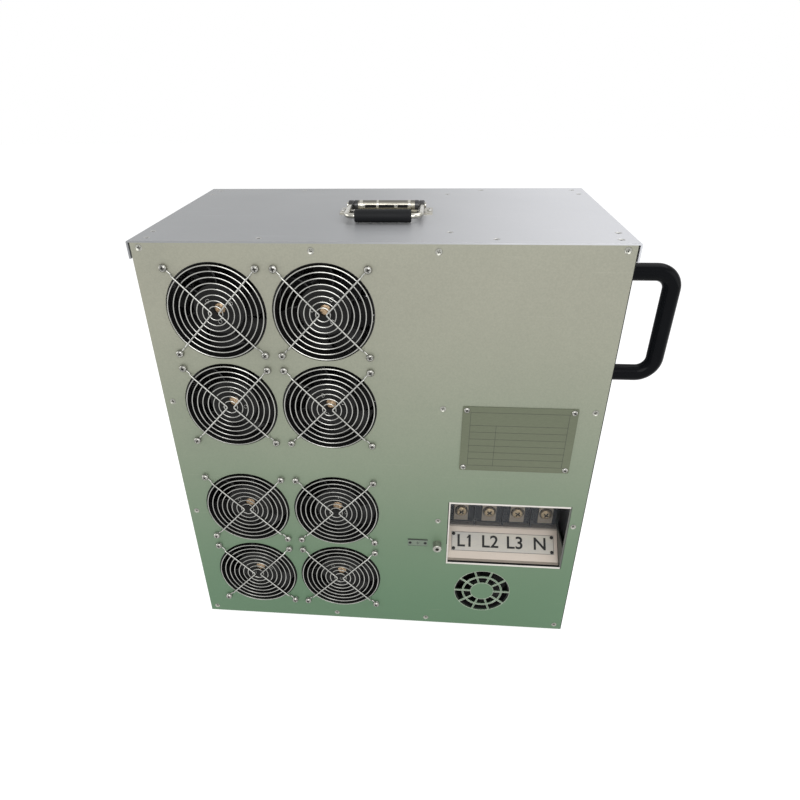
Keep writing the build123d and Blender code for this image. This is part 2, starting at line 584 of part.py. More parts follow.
# ---- side handle ---------------------------------------------------------------------------------
side = Plane(origin=(x0 + case_w, y0 + grip_y, z0), x_dir=(1, 0, 0), z_dir=(0, -1, 0))
with BuildPart() as side_handle:
    with BuildLine(side):
        FilletPolyline((0, grip_low), (grip_reach, grip_low), (grip_reach, grip_high), (0, grip_high),
                       radius=grip_bend)
    with BuildSketch(Plane(origin=(x0 + case_w, y0 + grip_y, z0 + grip_low), x_dir=(0, 1, 0), z_dir=(1, 0, 0))):
        Ellipse(grip_a, grip_b)
    sweep()
    for z in (grip_low, grip_high):
        with BuildSketch(Plane(origin=(x0 + case_w, y0 + grip_y, z0 + z), x_dir=(0, 1, 0), z_dir=(1, 0, 0))):
            Circle(rosette_r)
        extrude(amount=rosette_t)
        with Locations(Location((x0 + case_w, y0 + grip_y, z0 + z), (0, -90, 0))):
            Hole(bolt_r + screw_gap, depth=bolt_depth + 1)
save(side_handle.part, "side_handle")
handle_bolt = domed_screw(sheet_t + bolt_depth, bolt_head_r, bolt_head_h, bolt_r)
group(handle_bolt, [Location((x0 + case_w - sheet_t, y0 + grip_y, z0 + z), (0, -90, 0))
                    for z in (grip_low, grip_high)], "side_handle_bolts")


# ---- top bail ------------------------------------------------------------------------------------
def across(x):
    """A plane square to the bail's pin, x from the middle of the case."""
    return Plane(origin=(bail_x + x, bail_y, bail_z), x_dir=(0, 1, 0), z_dir=(1, 0, 0))


web_low = bail_base_t / 2 - hinge_h
with BuildPart() as bail_base:
    with Locations((bail_x, bail_y, z_top + bail_base_t / 2)):
        Box(bail_base_w, bail_base_d, bail_base_t)
    with BuildSketch(across(-barrel_half)):
        Circle(barrel_r)
        with Locations((0, (web_low - barrel_bore_r) / 2)):
            Rectangle(barrel_web, -barrel_bore_r - web_low)
        Circle(barrel_bore_r, mode=Mode.SUBTRACT)
    extrude(amount=2 * barrel_half)
    for x in (-barrel_half, barrel_half - barrel_cap):
        with BuildSketch(across(x)):
            Circle(barrel_bore_r + screw_gap)
            Circle(pin_r + pin_fit, mode=Mode.SUBTRACT)
        extrude(amount=barrel_cap)
    with Locations(*[(bail_x + sx * bail_hole_pitch / 2, bail_y, z_top + bail_base_t) for sx in (-1, 1)]):
        Hole(bail_screw_r + screw_gap, depth=2 * bail_base_t)
save(bail_base.part, "bail_base")

bail_screw = domed_screw(bail_base_t + cover_t + 3, bail_head_r, bail_head_h, bail_screw_r)
case_screws += [bail_screw.moved(Location((bail_x + sx * bail_hole_pitch / 2, bail_y, z_top + bail_base_t)))
                for sx in (-1, 1)]
save(Compound(children=case_screws), "case_screws")

pin_half = bail_half + knuckle_w / 2 + pin_spare
with BuildPart() as bail_pin:
    with BuildSketch(across(-pin_half)):
        Circle(pin_r)
    extrude(amount=2 * pin_half)
    for x in (-pin_half - pin_head_t, pin_half):
        with BuildSketch(across(x)):
            Circle(pin_head_r)
        extrude(amount=pin_head_t)
save(bail_pin.part, "bail_pin")

with BuildPart() as bail_spring:
    with BuildSketch(across(-spring_half)):
        Circle(spring_out_r)
        Circle(spring_in_r, mode=Mode.SUBTRACT)
    extrude(amount=2 * spring_half)
save(bail_spring.part, "bail_spring")

flat = Plane(origin=(bail_x, bail_y, bail_z), x_dir=(1, 0, 0), z_dir=(0, 0, 1))
knuckle_out = knuckle_r - 1.0
with BuildPart() as bail:
    with BuildLine(flat):
        FilletPolyline((-bail_half, -knuckle_out), (-bail_half, -bail_reach), (bail_half, -bail_reach),
                       (bail_half, -knuckle_out), radius=bail_bend)
    with BuildSketch(Plane(origin=(bail_x - bail_half, bail_y - knuckle_out, bail_z), x_dir=(1, 0, 0),
                           z_dir=(0, -1, 0))):
        Circle(bail_wire_r)
    sweep()
    for x in (-bail_half, bail_half):
        with BuildSketch(across(x - knuckle_w / 2)):
            Circle(knuckle_r)
        extrude(amount=knuckle_w)
    with BuildSketch(across(-pin_half)):
        Circle(pin_r + pin_fit)
    extrude(amount=2 * pin_half, mode=Mode.SUBTRACT)
save(bail.part, "bail")

with BuildPart() as bail_grip:
    with BuildSketch(Plane(origin=(bail_x - bail_grip_len / 2, bail_y - bail_reach, bail_z), x_dir=(0, 1, 0),
                           z_dir=(1, 0, 0))):
        Circle(bail_grip_r)
        Circle(bail_wire_r, mode=Mode.SUBTRACT)
    extrude(amount=bail_grip_len)
save(bail_grip.part, "bail_grip")

# ---- resistor rack -------------------------------------------------------------------------------
element_places = [(rack_front + rack_depth / 2 + (i - (element_cols - 1) / 2) * element_pitch_y,
                   element_low + j * element_pitch_z) for i in range(element_cols) for j in range(element_rows)]
rack_side = Plane(origin=(x0, y0, z0), x_dir=(0, 1, 0), z_dir=(1, 0, 0))
with BuildPart() as rack_end:
    with BuildSketch(rack_side):
        with Locations((rack_front + rack_depth / 2, (sheet_t + rack_high) / 2)):
            Rectangle(rack_depth, rack_high - sheet_t)
        with Locations(*element_places):
            Circle(element_r + screw_gap, mode=Mode.SUBTRACT)
    extrude(amount=sheet_t)
group(rack_end.part, [Location((wall, 0, 0)) for wall in (rack_left, rack_right - sheet_t)], "rack_ends")

with BuildPart() as element:
    with BuildSketch(rack_side.offset(rack_left - element_over)):
        Circle(element_r)
    extrude(amount=rack_right - rack_left + 2 * element_over)
group(element.part, [Location((0, y, z)) for y, z in element_places], "heater_elements")

# ---- controls ------------------------------------------------------------------------------------
tray_x = (partition_x + sheet_t, case_w - sheet_t)
tray_mid = (tray_x[0] + tray_x[1]) / 2
with BuildPart() as control_tray:
    slab(*tray_x, tray_y, tray_y + tray_t, tray_low, tray_low + tray_h)
    for sx in (-1, 1):
        for sz in (-1, 1):
            with Locations(front.location * Location((tray_mid + sx * (board_w / 2 - standoff_in),
                                                      board_z + sz * (board_h / 2 - standoff_in), -tray_y))):
                Cylinder(standoff_r, standoff_h, align=(Align.CENTER, Align.CENTER, Align.MIN))
save(control_tray.part, "control_tray")

with BuildPart() as contactor:
    with Locations((0, -contactor_d / 2, 0)):
        Box(contactor_w, contactor_d, contactor_h)
    with Locations((0, -contactor_d + 8, contactor_h / 2 - 8), (0, -contactor_d + 8, 8 - contactor_h / 2)):
        Box(contactor_w + 1, 18, 17, mode=Mode.SUBTRACT)
group(contactor.part, [at(tray_mid + (i - (contactor_count - 1) / 2) * contactor_pitch, contactor_z, tray_y)
                       for i in range(contactor_count)], "contactors")

board_y = tray_y - standoff_h
with BuildPart() as control_board:
    slab(tray_mid - board_w / 2, tray_mid + board_w / 2, board_y - board_t, board_y, board_z - board_h / 2,
         board_z + board_h / 2)
    for cx, cz, cw, ch, cd in chip_sizes:
        slab(tray_mid + cx - cw / 2, tray_mid + cx + cw / 2, board_y - board_t - cd, board_y - board_t,
             board_z + cz - ch / 2, board_z + cz + ch / 2)
save(control_board.part, "control_board")
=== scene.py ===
from math import atan2, cos, hypot, pi, radians, sin

import bmesh
import bpy
from mathutils import Matrix, Vector


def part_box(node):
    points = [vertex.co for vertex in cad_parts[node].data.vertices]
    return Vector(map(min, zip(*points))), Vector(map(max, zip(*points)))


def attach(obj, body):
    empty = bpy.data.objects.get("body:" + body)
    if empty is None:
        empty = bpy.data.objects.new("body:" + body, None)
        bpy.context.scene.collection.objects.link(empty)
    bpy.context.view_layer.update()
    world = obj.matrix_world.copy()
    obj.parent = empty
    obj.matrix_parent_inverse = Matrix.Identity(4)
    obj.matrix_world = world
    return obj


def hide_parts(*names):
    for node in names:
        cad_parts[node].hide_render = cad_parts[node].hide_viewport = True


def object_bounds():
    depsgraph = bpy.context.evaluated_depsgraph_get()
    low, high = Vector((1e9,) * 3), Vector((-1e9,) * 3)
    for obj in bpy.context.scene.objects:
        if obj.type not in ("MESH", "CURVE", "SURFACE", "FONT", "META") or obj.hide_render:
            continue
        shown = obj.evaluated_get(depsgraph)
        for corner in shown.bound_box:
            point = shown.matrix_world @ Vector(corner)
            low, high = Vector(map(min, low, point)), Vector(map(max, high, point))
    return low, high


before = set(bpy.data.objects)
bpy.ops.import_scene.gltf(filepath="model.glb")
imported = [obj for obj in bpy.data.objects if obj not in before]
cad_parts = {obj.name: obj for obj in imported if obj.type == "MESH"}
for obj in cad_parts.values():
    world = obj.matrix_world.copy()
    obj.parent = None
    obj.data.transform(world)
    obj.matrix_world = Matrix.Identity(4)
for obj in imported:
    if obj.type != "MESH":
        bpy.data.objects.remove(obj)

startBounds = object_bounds()
mm = 0.001
caseBody = "case"


# mesh helpers
# Turns a profile of (radius, distance along axis) pairs about an axis.
def spinProfile(bm, profile, centre, axis, steps):
    axis = Vector(axis).normalized()
    sideways = axis.orthogonal().normalized()
    spun = bmesh.new()
    points = [spun.verts.new(Vector(centre) + sideways * r + axis * d) for r, d in profile]
    edges = [spun.edges.new(pair) for pair in zip(points, points[1:])]
    bmesh.ops.spin(spun, geom=points + edges, cent=centre, axis=axis, dvec=(0, 0, 0),
                   angle=2 * pi, steps=steps, use_merge=True)
    mesh = bpy.data.meshes.new("spun")
    spun.to_mesh(mesh)
    spun.free()
    bm.from_mesh(mesh)
    bpy.data.meshes.remove(mesh)


# A block between two corners, with its edges rounded.
def addBox(bm, low, high, bevel=0.0, segments=2):
    low, high = Vector(low), Vector(high)
    middle, size = (low + high) / 2, high - low
    place = Matrix.Translation(middle) @ Matrix.Diagonal((*size, 1))
    made = bmesh.ops.create_cube(bm, size=1, matrix=place)["verts"]
    if bevel:
        edges = list({edge for vert in made for edge in vert.link_edges})
        bmesh.ops.bevel(bm, geom=edges, offset=bevel, segments=segments, profile=0.5,
                        affect="EDGES", material=-1)


# Extrudes a face through matching rings of points, and returns the face it started from.
def loftRings(bm, rings):
    verts = [bm.verts.new(point) for point in rings[0]]
    first = face = bm.faces.new(verts)
    for ring in rings[1:]:
        made = bmesh.ops.extrude_face_region(bm, geom=[face])
        if face is not first:
            bm.faces.remove(face)
        face = next(item for item in made["geom"] if isinstance(item, bmesh.types.BMFace))
        copies = {tuple(vert.co): vert for vert in face.verts}
        verts = [copies[tuple(vert.co)] for vert in verts]
        for vert, point in zip(verts, ring):
            vert.co = point
    return first


# Carries a closed section, points (across, along up), along a path.
def sweepTube(bm, path, section, up):
    rings = []
    for i, point in enumerate(path):
        forward = (path[min(i + 1, len(path) - 1)] - path[max(i - 1, 0)]).normalized()
        across = forward.cross(Vector(up)).normalized()
        rise = across.cross(forward).normalized()
        rings.append([point + across * a + rise * b for a, b in section])
    loftRings(bm, rings)


# A ring of round wire about an axis.
def addRing(bm, centre, radius, wire, axis, steps, sides=8):
    profile = [(radius + a, b) for a, b in roundSection(wire, sides)]
    spinProfile(bm, profile + profile[:1], centre, axis, steps)


# Points of a circle, for a section.
def roundSection(radius, segments):
    angles = [2 * pi * k / segments for k in range(segments)]
    return [(radius * cos(angle), radius * sin(angle)) for angle in angles]


# A path through corners, with each inner corner turned by an arc.
def roundedPath(corners, radius, steps):
    corners = [Vector(c) for c in corners]
    path = [corners[0]]
    for before, corner, after in zip(corners, corners[1:], corners[2:]):
        toBefore = (before - corner).normalized()
        toAfter = (after - corner).normalized()
        half = toBefore.angle(toAfter) / 2
        cut = radius / max(abs(sin(half) / cos(half)), 1e-6)
        middle = corner + (toBefore + toAfter).normalized() * radius / sin(half)
        start = corner + toBefore * cut - middle
        end = corner + toAfter * cut - middle
        turn = start.angle(end)
        axis = start.cross(end).normalized()
        path += [middle + Matrix.Rotation(turn * k / steps, 3, axis) @ start for k in range(steps + 1)]
    return path + [corners[-1]]


# Finishes a mesh and puts it on its body. A second look, for marked faces, is the painted shade in screw
# recesses.
def addPiece(name, bm, look, body=caseBody, stands=(), crease=38, paintedShadeLook=None):
    bmesh.ops.remove_doubles(bm, verts=bm.verts, dist=1e-6)
    bmesh.ops.recalc_face_normals(bm, faces=bm.faces)
    mesh = bpy.data.meshes.new(name)
    bm.to_mesh(mesh)
    bm.free()
    mesh.polygons.foreach_set("use_smooth", [True] * len(mesh.polygons))
    mesh.set_sharp_from_angle(angle=radians(crease))
    mesh.materials.append(materials[look])
    if paintedShadeLook:
        mesh.materials.append(materials[paintedShadeLook])
    piece = bpy.data.objects.new(name, mesh)
    bpy.context.scene.collection.objects.link(piece)
    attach(piece, body)
    if stands:
        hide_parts(*stands)


# shaders
# Adds a shader node with its settings and the values on its sockets.
def addNode(nodes, kind, sockets={}, **settings):
    node = nodes.new("ShaderNode" + kind)
    for name, value in settings.items():
        setattr(node, name, value)
    for name, value in sockets.items():
        node.inputs[name].default_value = value
    return node


# Masks shared by the materials: fine grain, broad smudges and thin scratches.
def buildWear():
    group = bpy.data.node_groups.new("wearMasks", "ShaderNodeTree")
    sockets = group.interface
    for label, kind in (("Place", "Vector"), ("Grain Size", "Float"), ("Smudge Size", "Float")):
        sockets.new_socket(label, in_out="INPUT", socket_type="NodeSocket" + kind)
    for label in ("Grain", "Smudge", "Scratch"):
        sockets.new_socket(label, in_out="OUTPUT", socket_type="NodeSocketFloat")
    nodes, links = group.nodes, group.links
    start, end = nodes.new("NodeGroupInput"), nodes.new("NodeGroupOutput")
    grain = addNode(nodes, "TexNoise", {"Detail": 6, "Roughness": 0.65})
    smudge = addNode(nodes, "TexNoise", {"Detail": 4, "Distortion": 0.6})
    streak = addNode(nodes, "Mapping", {"Rotation": (0.3, 0.5, 0.7), "Scale": (9, 420, 420)})
    scratch = addNode(nodes, "TexNoise", {"Scale": 1.0, "Detail": 2})
    thin = addNode(nodes, "MapRange", {"From Min": 0.70, "From Max": 0.76})
    for node in (grain, smudge, streak):
        links.new(start.outputs["Place"], node.inputs["Vector"])
    links.new(streak.outputs["Vector"], scratch.inputs["Vector"])
    links.new(start.outputs["Grain Size"], grain.inputs["Scale"])
    links.new(start.outputs["Smudge Size"], smudge.inputs["Scale"])
    links.new(scratch.outputs["Fac"], thin.inputs["Value"])
    links.new(grain.outputs["Fac"], end.inputs["Grain"])
    links.new(smudge.outputs["Fac"], end.inputs["Smudge"])
    links.new(thin.outputs["Result"], end.inputs["Scratch"])
    return group


wearMasks = buildWear()
reliefDepth = 0.4 * mm
scratchLift = 1.25
scratchBase = 0.03


# A surface mixed from two tones by grain and smudges, with uneven gloss and a fine bump.
# Painted light and shade along one axis is given as (axis, low, high, tone): from the tone at low to the
# surface's own at high, in metres.
def makeMaterial(name, color, second, roughness, metallic=0.0, stretch=(1, 1, 1), grain=900, smudge=7,
                 bump=0.08, scratch=0.0, paintedLight=None, alpha=1.0, spread=0.3, specular=0.5):
    material = bpy.data.materials.new(name)
    material.use_nodes = True
    nodes, links = material.node_tree.nodes, material.node_tree.links
    shader = nodes["Principled BSDF"]
    place = addNode(nodes, "TexCoord")
    scale = addNode(nodes, "Mapping", {"Scale": stretch})
    masks = addNode(nodes, "Group", {"Grain Size": grain, "Smudge Size": smudge}, node_tree=wearMasks)
    links.new(place.outputs["Object"], scale.inputs["Vector"])
    links.new(scale.outputs["Vector"], masks.inputs["Place"])

    tone = addNode(nodes, "Mix", {"A": (*color, 1), "B": (*second, 1)}, data_type="RGBA")
    blend = addNode(nodes, "Math", {1: 0.5}, operation="MULTIPLY_ADD")
    half = addNode(nodes, "Math", {1: 0.5}, operation="MULTIPLY")
    links.new(masks.outputs["Smudge"], half.inputs[0])
    links.new(masks.outputs["Grain"], blend.inputs[0])
    links.new(half.outputs["Value"], blend.inputs[2])
    contrast = addNode(nodes, "MapRange", {"From Min": 0.5 - spread, "From Max": 0.5 + spread})
    links.new(blend.outputs["Value"], contrast.inputs["Value"])
    links.new(contrast.outputs["Result"], tone.inputs["Factor"])
    colorOut = tone.outputs["Result"]

    # Painted light and shade: towards one end of an axis the colour goes over to another tone.
    if paintedLight:
        axis, low, high, deep = paintedLight
        axes = addNode(nodes, "SeparateXYZ")
        reach = addNode(nodes, "MapRange", {"From Min": low, "From Max": high},
                        interpolation_type="SMOOTHSTEP")
        fall = addNode(nodes, "Mix", {"A": (*deep, 1)}, data_type="RGBA")
        links.new(place.outputs["Object"], axes.inputs["Vector"])
        links.new(axes.outputs[axis], reach.inputs["Value"])
        links.new(reach.outputs["Result"], fall.inputs["Factor"])
        links.new(colorOut, fall.inputs["B"])
        colorOut = fall.outputs["Result"]

    if scratch:
        paler = [min(1, channel * scratchLift + scratchBase) for channel in color]
        mark = addNode(nodes, "Mix", {"B": (*paler, 1)}, data_type="RGBA")
        amount = addNode(nodes, "Math", {1: scratch}, operation="MULTIPLY")
        links.new(masks.outputs["Scratch"], amount.inputs[0])
        links.new(amount.outputs["Value"], mark.inputs["Factor"])
        links.new(colorOut, mark.inputs["A"])
        colorOut = mark.outputs["Result"]
    links.new(colorOut, shader.inputs["Base Color"])

    gloss = addNode(nodes, "MapRange", {"From Min": 0.3, "From Max": 0.7, "To Min": roughness[0],
                                        "To Max": roughness[1]})
    links.new(masks.outputs["Smudge"], gloss.inputs["Value"])
    links.new(gloss.outputs["Result"], shader.inputs["Roughness"])
    relief = addNode(nodes, "Bump", {"Strength": bump, "Distance": reliefDepth})
    links.new(masks.outputs["Grain"], relief.inputs["Height"])
    links.new(relief.outputs["Normal"], shader.inputs["Normal"])
    shader.inputs["Metallic"].default_value = metallic
    shader.inputs["Specular IOR Level"].default_value = specular
    shader.inputs["Alpha"].default_value = alpha
    return material


panelLow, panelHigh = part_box("front_panel")
coverLow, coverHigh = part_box("top_cover")
bayLow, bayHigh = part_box("bay_liner")
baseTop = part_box("bail_base")[1].z
# Each look: tone, second tone, range of roughness, and the rest.
surfaces = {
    # bareSheet: painted reflection, darker and greener towards the bottom of the front panel.
    "bareSheet": ((0.322, 0.318, 0.253), (0.252, 0.253, 0.203), (0.42, 0.52), dict(metallic=0.3,
        grain=480, smudge=4, bump=0.05, scratch=0.10, spread=0.17,
        paintedLight=("Z", panelLow.z, panelHigh.z * 0.98, (0.103, 0.188, 0.108)))),
    # coverSheet: painted reflection, darker towards the left of the case.
    "coverSheet": ((0.57, 0.575, 0.60), (0.52, 0.525, 0.55), (0.36, 0.48), dict(metallic=0.3, grain=420,
        smudge=3.5, bump=0.05, scratch=0.14, spread=0.2,
        paintedLight=("X", coverLow.x * 0.42, coverHigh.x, (0.258, 0.264, 0.271)))),
    "innerSheet": ((0.14, 0.14, 0.13), (0.10, 0.10, 0.095), (0.4, 0.55), dict(metallic=0.5, grain=300)),
    "brightSheet": ((0.50, 0.435, 0.375), (0.42, 0.37, 0.32), (0.38, 0.5), dict(metallic=0.3, grain=400,
        bump=0.03, scratch=0.1)),
    # linerSheet: painted shade, dark towards the right wall of the terminal bay.
    "linerSheet": ((0.66, 0.63, 0.58), (0.55, 0.52, 0.48), (0.35, 0.5), dict(metallic=0.3, grain=400,
        bump=0.03, scratch=0.1,
        paintedLight=("X", bayHigh.x - 2 * mm, bayHigh.x - 9 * mm, (0.10, 0.105, 0.095)))),
    "zinc": ((0.44, 0.44, 0.395), (0.22, 0.22, 0.195), (0.25, 0.4), dict(metallic=0.85, grain=700,
        smudge=160, spread=0.15)),
    "topZinc": ((0.46, 0.46, 0.44), (0.32, 0.32, 0.31), (0.3, 0.45), dict(metallic=0.6, grain=700,
        smudge=60)),
    "headChrome": ((0.48, 0.475, 0.44), (0.12, 0.12, 0.11), (0.14, 0.26), dict(metallic=1.0, smudge=330,
        bump=0.02, spread=0.13)),
    # recess: painted shade on the floor and walls of screw recesses.
    "recess": ((0.035, 0.033, 0.028), (0.015, 0.014, 0.012), (0.4, 0.55), dict(metallic=0.3,
        specular=0.2)),
    "chrome": ((0.55, 0.535, 0.48), (0.36, 0.35, 0.31), (0.14, 0.24), dict(metallic=1.0,
        stretch=(0.2, 1, 1), smudge=160, bump=0.02, spread=0.12)),
    # barrelChrome: painted shadow, darker towards the top of the bail base.
    "barrelChrome": ((0.44, 0.42, 0.36), (0.29, 0.28, 0.24), (0.28, 0.38), dict(metallic=1.0,
        stretch=(0.2, 1, 1), smudge=160, bump=0.02, spread=0.12,
        paintedLight=("Z", baseTop - 0.3 * mm, baseTop - 3.6 * mm, (0.13, 0.125, 0.11)))),
    "wireChrome": ((0.50, 0.50, 0.47), (0.27, 0.27, 0.255), (0.16, 0.3), dict(metallic=1.0, smudge=50,
        bump=0.02, spread=0.16)),
    "fanBlack": ((0.009, 0.009, 0.0095), (0.017, 0.017, 0.017), (0.25, 0.4), dict(smudge=30, bump=0.05,
        specular=0.25)),
    "rotorBlack": ((0.008, 0.008, 0.0085), (0.016, 0.0155, 0.015), (0.35, 0.5), dict(smudge=30, bump=0.06,
        specular=0.16)),
    "blockBlack": ((0.014, 0.016, 0.02), (0.03, 0.033, 0.04), (0.35, 0.55), dict(grain=800, smudge=25,
        bump=0.08, specular=0.2)),
    "plated": ((0.36, 0.31, 0.245), (0.27, 0.235, 0.19), (0.3, 0.45), dict(metallic=0.6, grain=500,
        smudge=60)),
    "brass": ((0.50, 0.39, 0.24), (0.30, 0.23, 0.14), (0.25, 0.4), dict(metallic=0.85, grain=700,
        smudge=90, spread=0.15)),
    "labelMetal": ((0.43, 0.395, 0.33), (0.335, 0.33, 0.315), (0.35, 0.45), dict(metallic=0.3,
        stretch=(0.2, 1, 1), smudge=40, bump=0.03, spread=0.15)),
    "plateMetal": ((0.135, 0.153, 0.098), (0.10, 0.112, 0.072), (0.3, 0.42), dict(metallic=0.35,
        stretch=(0.12, 1, 1), grain=1300, smudge=12, bump=0.06, spread=0.2)),
    "markMetal": ((0.20, 0.245, 0.185), (0.10, 0.13, 0.10), (0.35, 0.45), dict(metallic=0.3, smudge=60,
        bump=0.03)),
    "ink": ((0.012, 0.012, 0.012), (0.02, 0.02, 0.02), (0.45, 0.6), dict(bump=0.02, specular=0.2)),
    "plateInk": ((0.035, 0.037, 0.025), (0.06, 0.065, 0.045), (0.45, 0.6), dict(bump=0.02)),
    "darkFixing": ((0.008, 0.008, 0.008), (0.02, 0.02, 0.02), (0.35, 0.5), dict(metallic=0.1,
        specular=0.25)),
    "handleBlack": ((0.0022, 0.0025, 0.0034), (0.0045, 0.005, 0.006), (0.1, 0.17), dict(grain=700,
        smudge=18, bump=0.05, specular=0.05)),
    "rubber": ((0.006, 0.0065, 0.0075), (0.012, 0.0125, 0.0135), (0.45, 0.6), dict(grain=1100, smudge=30,
        bump=0.12, specular=0.12)),
    "bushBlack": ((0.01, 0.01, 0.011), (0.03, 0.03, 0.03), (0.2, 0.35), dict(smudge=90, bump=0.05,
        spread=0.15)),
    "springSteel": ((0.42, 0.42, 0.42), (0.3, 0.3, 0.3), (0.3, 0.4), dict(metallic=1.0)),
    "elementSteel": ((0.05, 0.046, 0.042), (0.03, 0.026, 0.026), (0.5, 0.7), dict(metallic=0.4,
        grain=400)),
    "gold": ((0.70, 0.50, 0.31), (0.16, 0.11, 0.065), (0.35, 0.5), dict(metallic=0.5, grain=500,
        smudge=420, spread=0.1)),
    "dimSteel": ((0.16, 0.16, 0.155), (0.08, 0.08, 0.08), (0.35, 0.5), dict(metallic=0.6)),
    # Black painted shade for the gaps round the bay, the seam at the front's right edge and the barrel
    # slots.
    "paintedShade": ((0.006, 0.006, 0.006), (0.012, 0.012, 0.012), (0.6, 0.8), dict(bump=0.1, specular=0.15)),
    "lipSheet": ((0.72, 0.69, 0.64), (0.58, 0.555, 0.52), (0.3, 0.45), dict(metallic=0.4, grain=600,
        smudge=30)),
    "cutEdge": ((0.42, 0.46, 0.38), (0.28, 0.32, 0.26), (0.3, 0.45), dict(metallic=0.5, grain=600,
        smudge=60)),
    "boardGreen": ((0.015, 0.10, 0.035), (0.02, 0.13, 0.05), (0.25, 0.4), dict(grain=500)),
    "smokeClear": ((0.10, 0.105, 0.11), (0.07, 0.075, 0.08), (0.05, 0.12), dict(grain=300, smudge=12,
        bump=0.01, alpha=0.16)),
}
materials = {name: makeMaterial(name, *tones, **rest) for name, (*tones, rest) in surfaces.items()}
print("materials made")

# plain nodes keep their CAD meshes
cadLooks = {
    "bareSheet": ["front_panel"],
    "coverSheet": ["top_cover", "left_side_panel", "right_side_panel", "rear_panel"],
    "innerSheet": ["base_tray", "top_rails", "partition", "rack_ends", "control_tray"],
    "brightSheet": ["cable_ramp"],
    "linerSheet": ["bay_liner"],
    "labelMetal": ["terminal_label"],
    "markMetal": ["earth_label"],
    "plateMetal": ["nameplate"],
    "plated": ["terminal_plates"],
    "blockBlack": ["terminal_block", "contactors"],
    "smokeClear": ["terminal_cover"],
    "zinc": ["side_handle_bolts", "case_screws", "earth_terminal"],
    "brass": ["terminal_screws"],
    "darkFixing": ["plate_fixings"],
    "chrome": ["bail_pin", "bail", "fan_screws"],
    "barrelChrome": ["bail_base"],
    "springSteel": ["bail_spring"],
    "elementSteel": ["heater_elements"],
    "boardGreen": ["control_board"],
    "rubber": ["feet", "bail_grip"],
    "handleBlack": ["side_handle"],
    "fanBlack": ["vent_fan_frame"] + [f"fan_frame_{i}" for i in range(1, 9)],
    "rotorBlack": ["vent_fan_rotor"] + [f"fan_rotor_{i}" for i in range(1, 9)],
}
for look, names in cadLooks.items():
    for name in names:
        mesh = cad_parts[name].data
        mesh.materials.clear()
        mesh.materials.append(materials[look])

# fan guards
guardShape = {
    "rings": 8,
    "innerRing": 8.4 * mm,
    "ringPitch": 6.85 * mm,
    "ringWire": 0.75 * mm,
    "spokeWire": 1.0 * mm,
    "apexShift": 3.6 * mm,
    "apexBend": 2.2 * mm,
    "eyeFromAxis": 52.5 * mm,
    "eyeRadius": 4.6 * mm,
    "shoulder": 60.5 * mm,
    "shoulderRun": (2 * mm, 1.2 * mm),
    "weld": 0.1 * mm,
    "rimShare": 0.75,
    "ringSteps": 72,
    "eyeSteps": 28,
}


# Eight wire rings under two bent spoke wires that end in eyes at the screws.
def buildGuard(index, shape=guardShape):
    low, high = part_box(f"fan_guard_{index}")
    centre = (low + high) / 2
    front, face = low.y, high.y
    spokeY = front + shape["spokeWire"]
    ringY = front + 2 * shape["spokeWire"] + shape["ringWire"] - shape["weld"]
    bm = bmesh.new()
    for k in range(shape["rings"]):
        ringRadius = shape["innerRing"] + k * shape["ringPitch"]
        addRing(bm, (centre.x, ringY, centre.z), ringRadius, shape["ringWire"], (0, 1, 0),
                shape["ringSteps"])
    eye = shape["eyeFromAxis"]
    rod = roundSection(shape["spokeWire"], 10)
    eyeY = face - shape["spokeWire"]
    before, after = shape["shoulderRun"]
    for side in (-1, 1):
        ends = []
        for end in (-1, 1):
            outward = Vector((side * (eye - shape["apexShift"]), 0, end * eye)).normalized()
            apex = Vector((centre.x + side * shape["apexShift"], spokeY, centre.z))
            shoulder = apex + outward * (shape["shoulder"] - before)
            foot = apex + outward * (shape["shoulder"] + after)
            foot.y = eyeY
            rim = Vector((centre.x + side * eye, eyeY, centre.z + end * eye))
            rim -= outward * shape["eyeRadius"] * shape["rimShare"]
            ends.append((foot, shoulder, rim))
        (footA, shoulderA, rimA), (footB, shoulderB, rimB) = ends
        corners = [rimA, footA, shoulderA, apex, shoulderB, footB, rimB]
        sweepTube(bm, roundedPath(corners, shape["apexBend"], 4), rod, (0, 1, 0))
        for end in (-1, 1):
            middle = (centre.x + side * eye, eyeY, centre.z + end * eye)
            addRing(bm, middle, shape["eyeRadius"] - shape["spokeWire"], shape["spokeWire"],
                    (0, 1, 0), shape["eyeSteps"])
    addPiece(f"guard_{index}", bm, "wireChrome", stands=[f"fan_guard_{index}"])


for index in range(1, 9):
    buildGuard(index)
print("guards made")

# fan rotors
rotorShape = {
    "blades": 7,
    "hubRadius": 31 * mm,
    "tipRadius": 55.2 * mm,
    "rootChord": 30 * mm,
    "tipChord": 36 * mm,
    "rootPitch": 52,
    "tipPitch": 30,
    "sweep": 14,
    "camber": 0.09,
    "bladeThickness": 1.6 * mm,
    "well": 3.4 * mm,
    "patch": 6.7 * mm,
    "ringAt": 15.8 * mm,
    "ring": 2.3 * mm,
    "ringWire": 0.35 * mm,
    "ringDepth": 1.2 * mm,
    "bladeRoot": 1.5 * mm,
    "backSpace": 4.5 * mm,
}


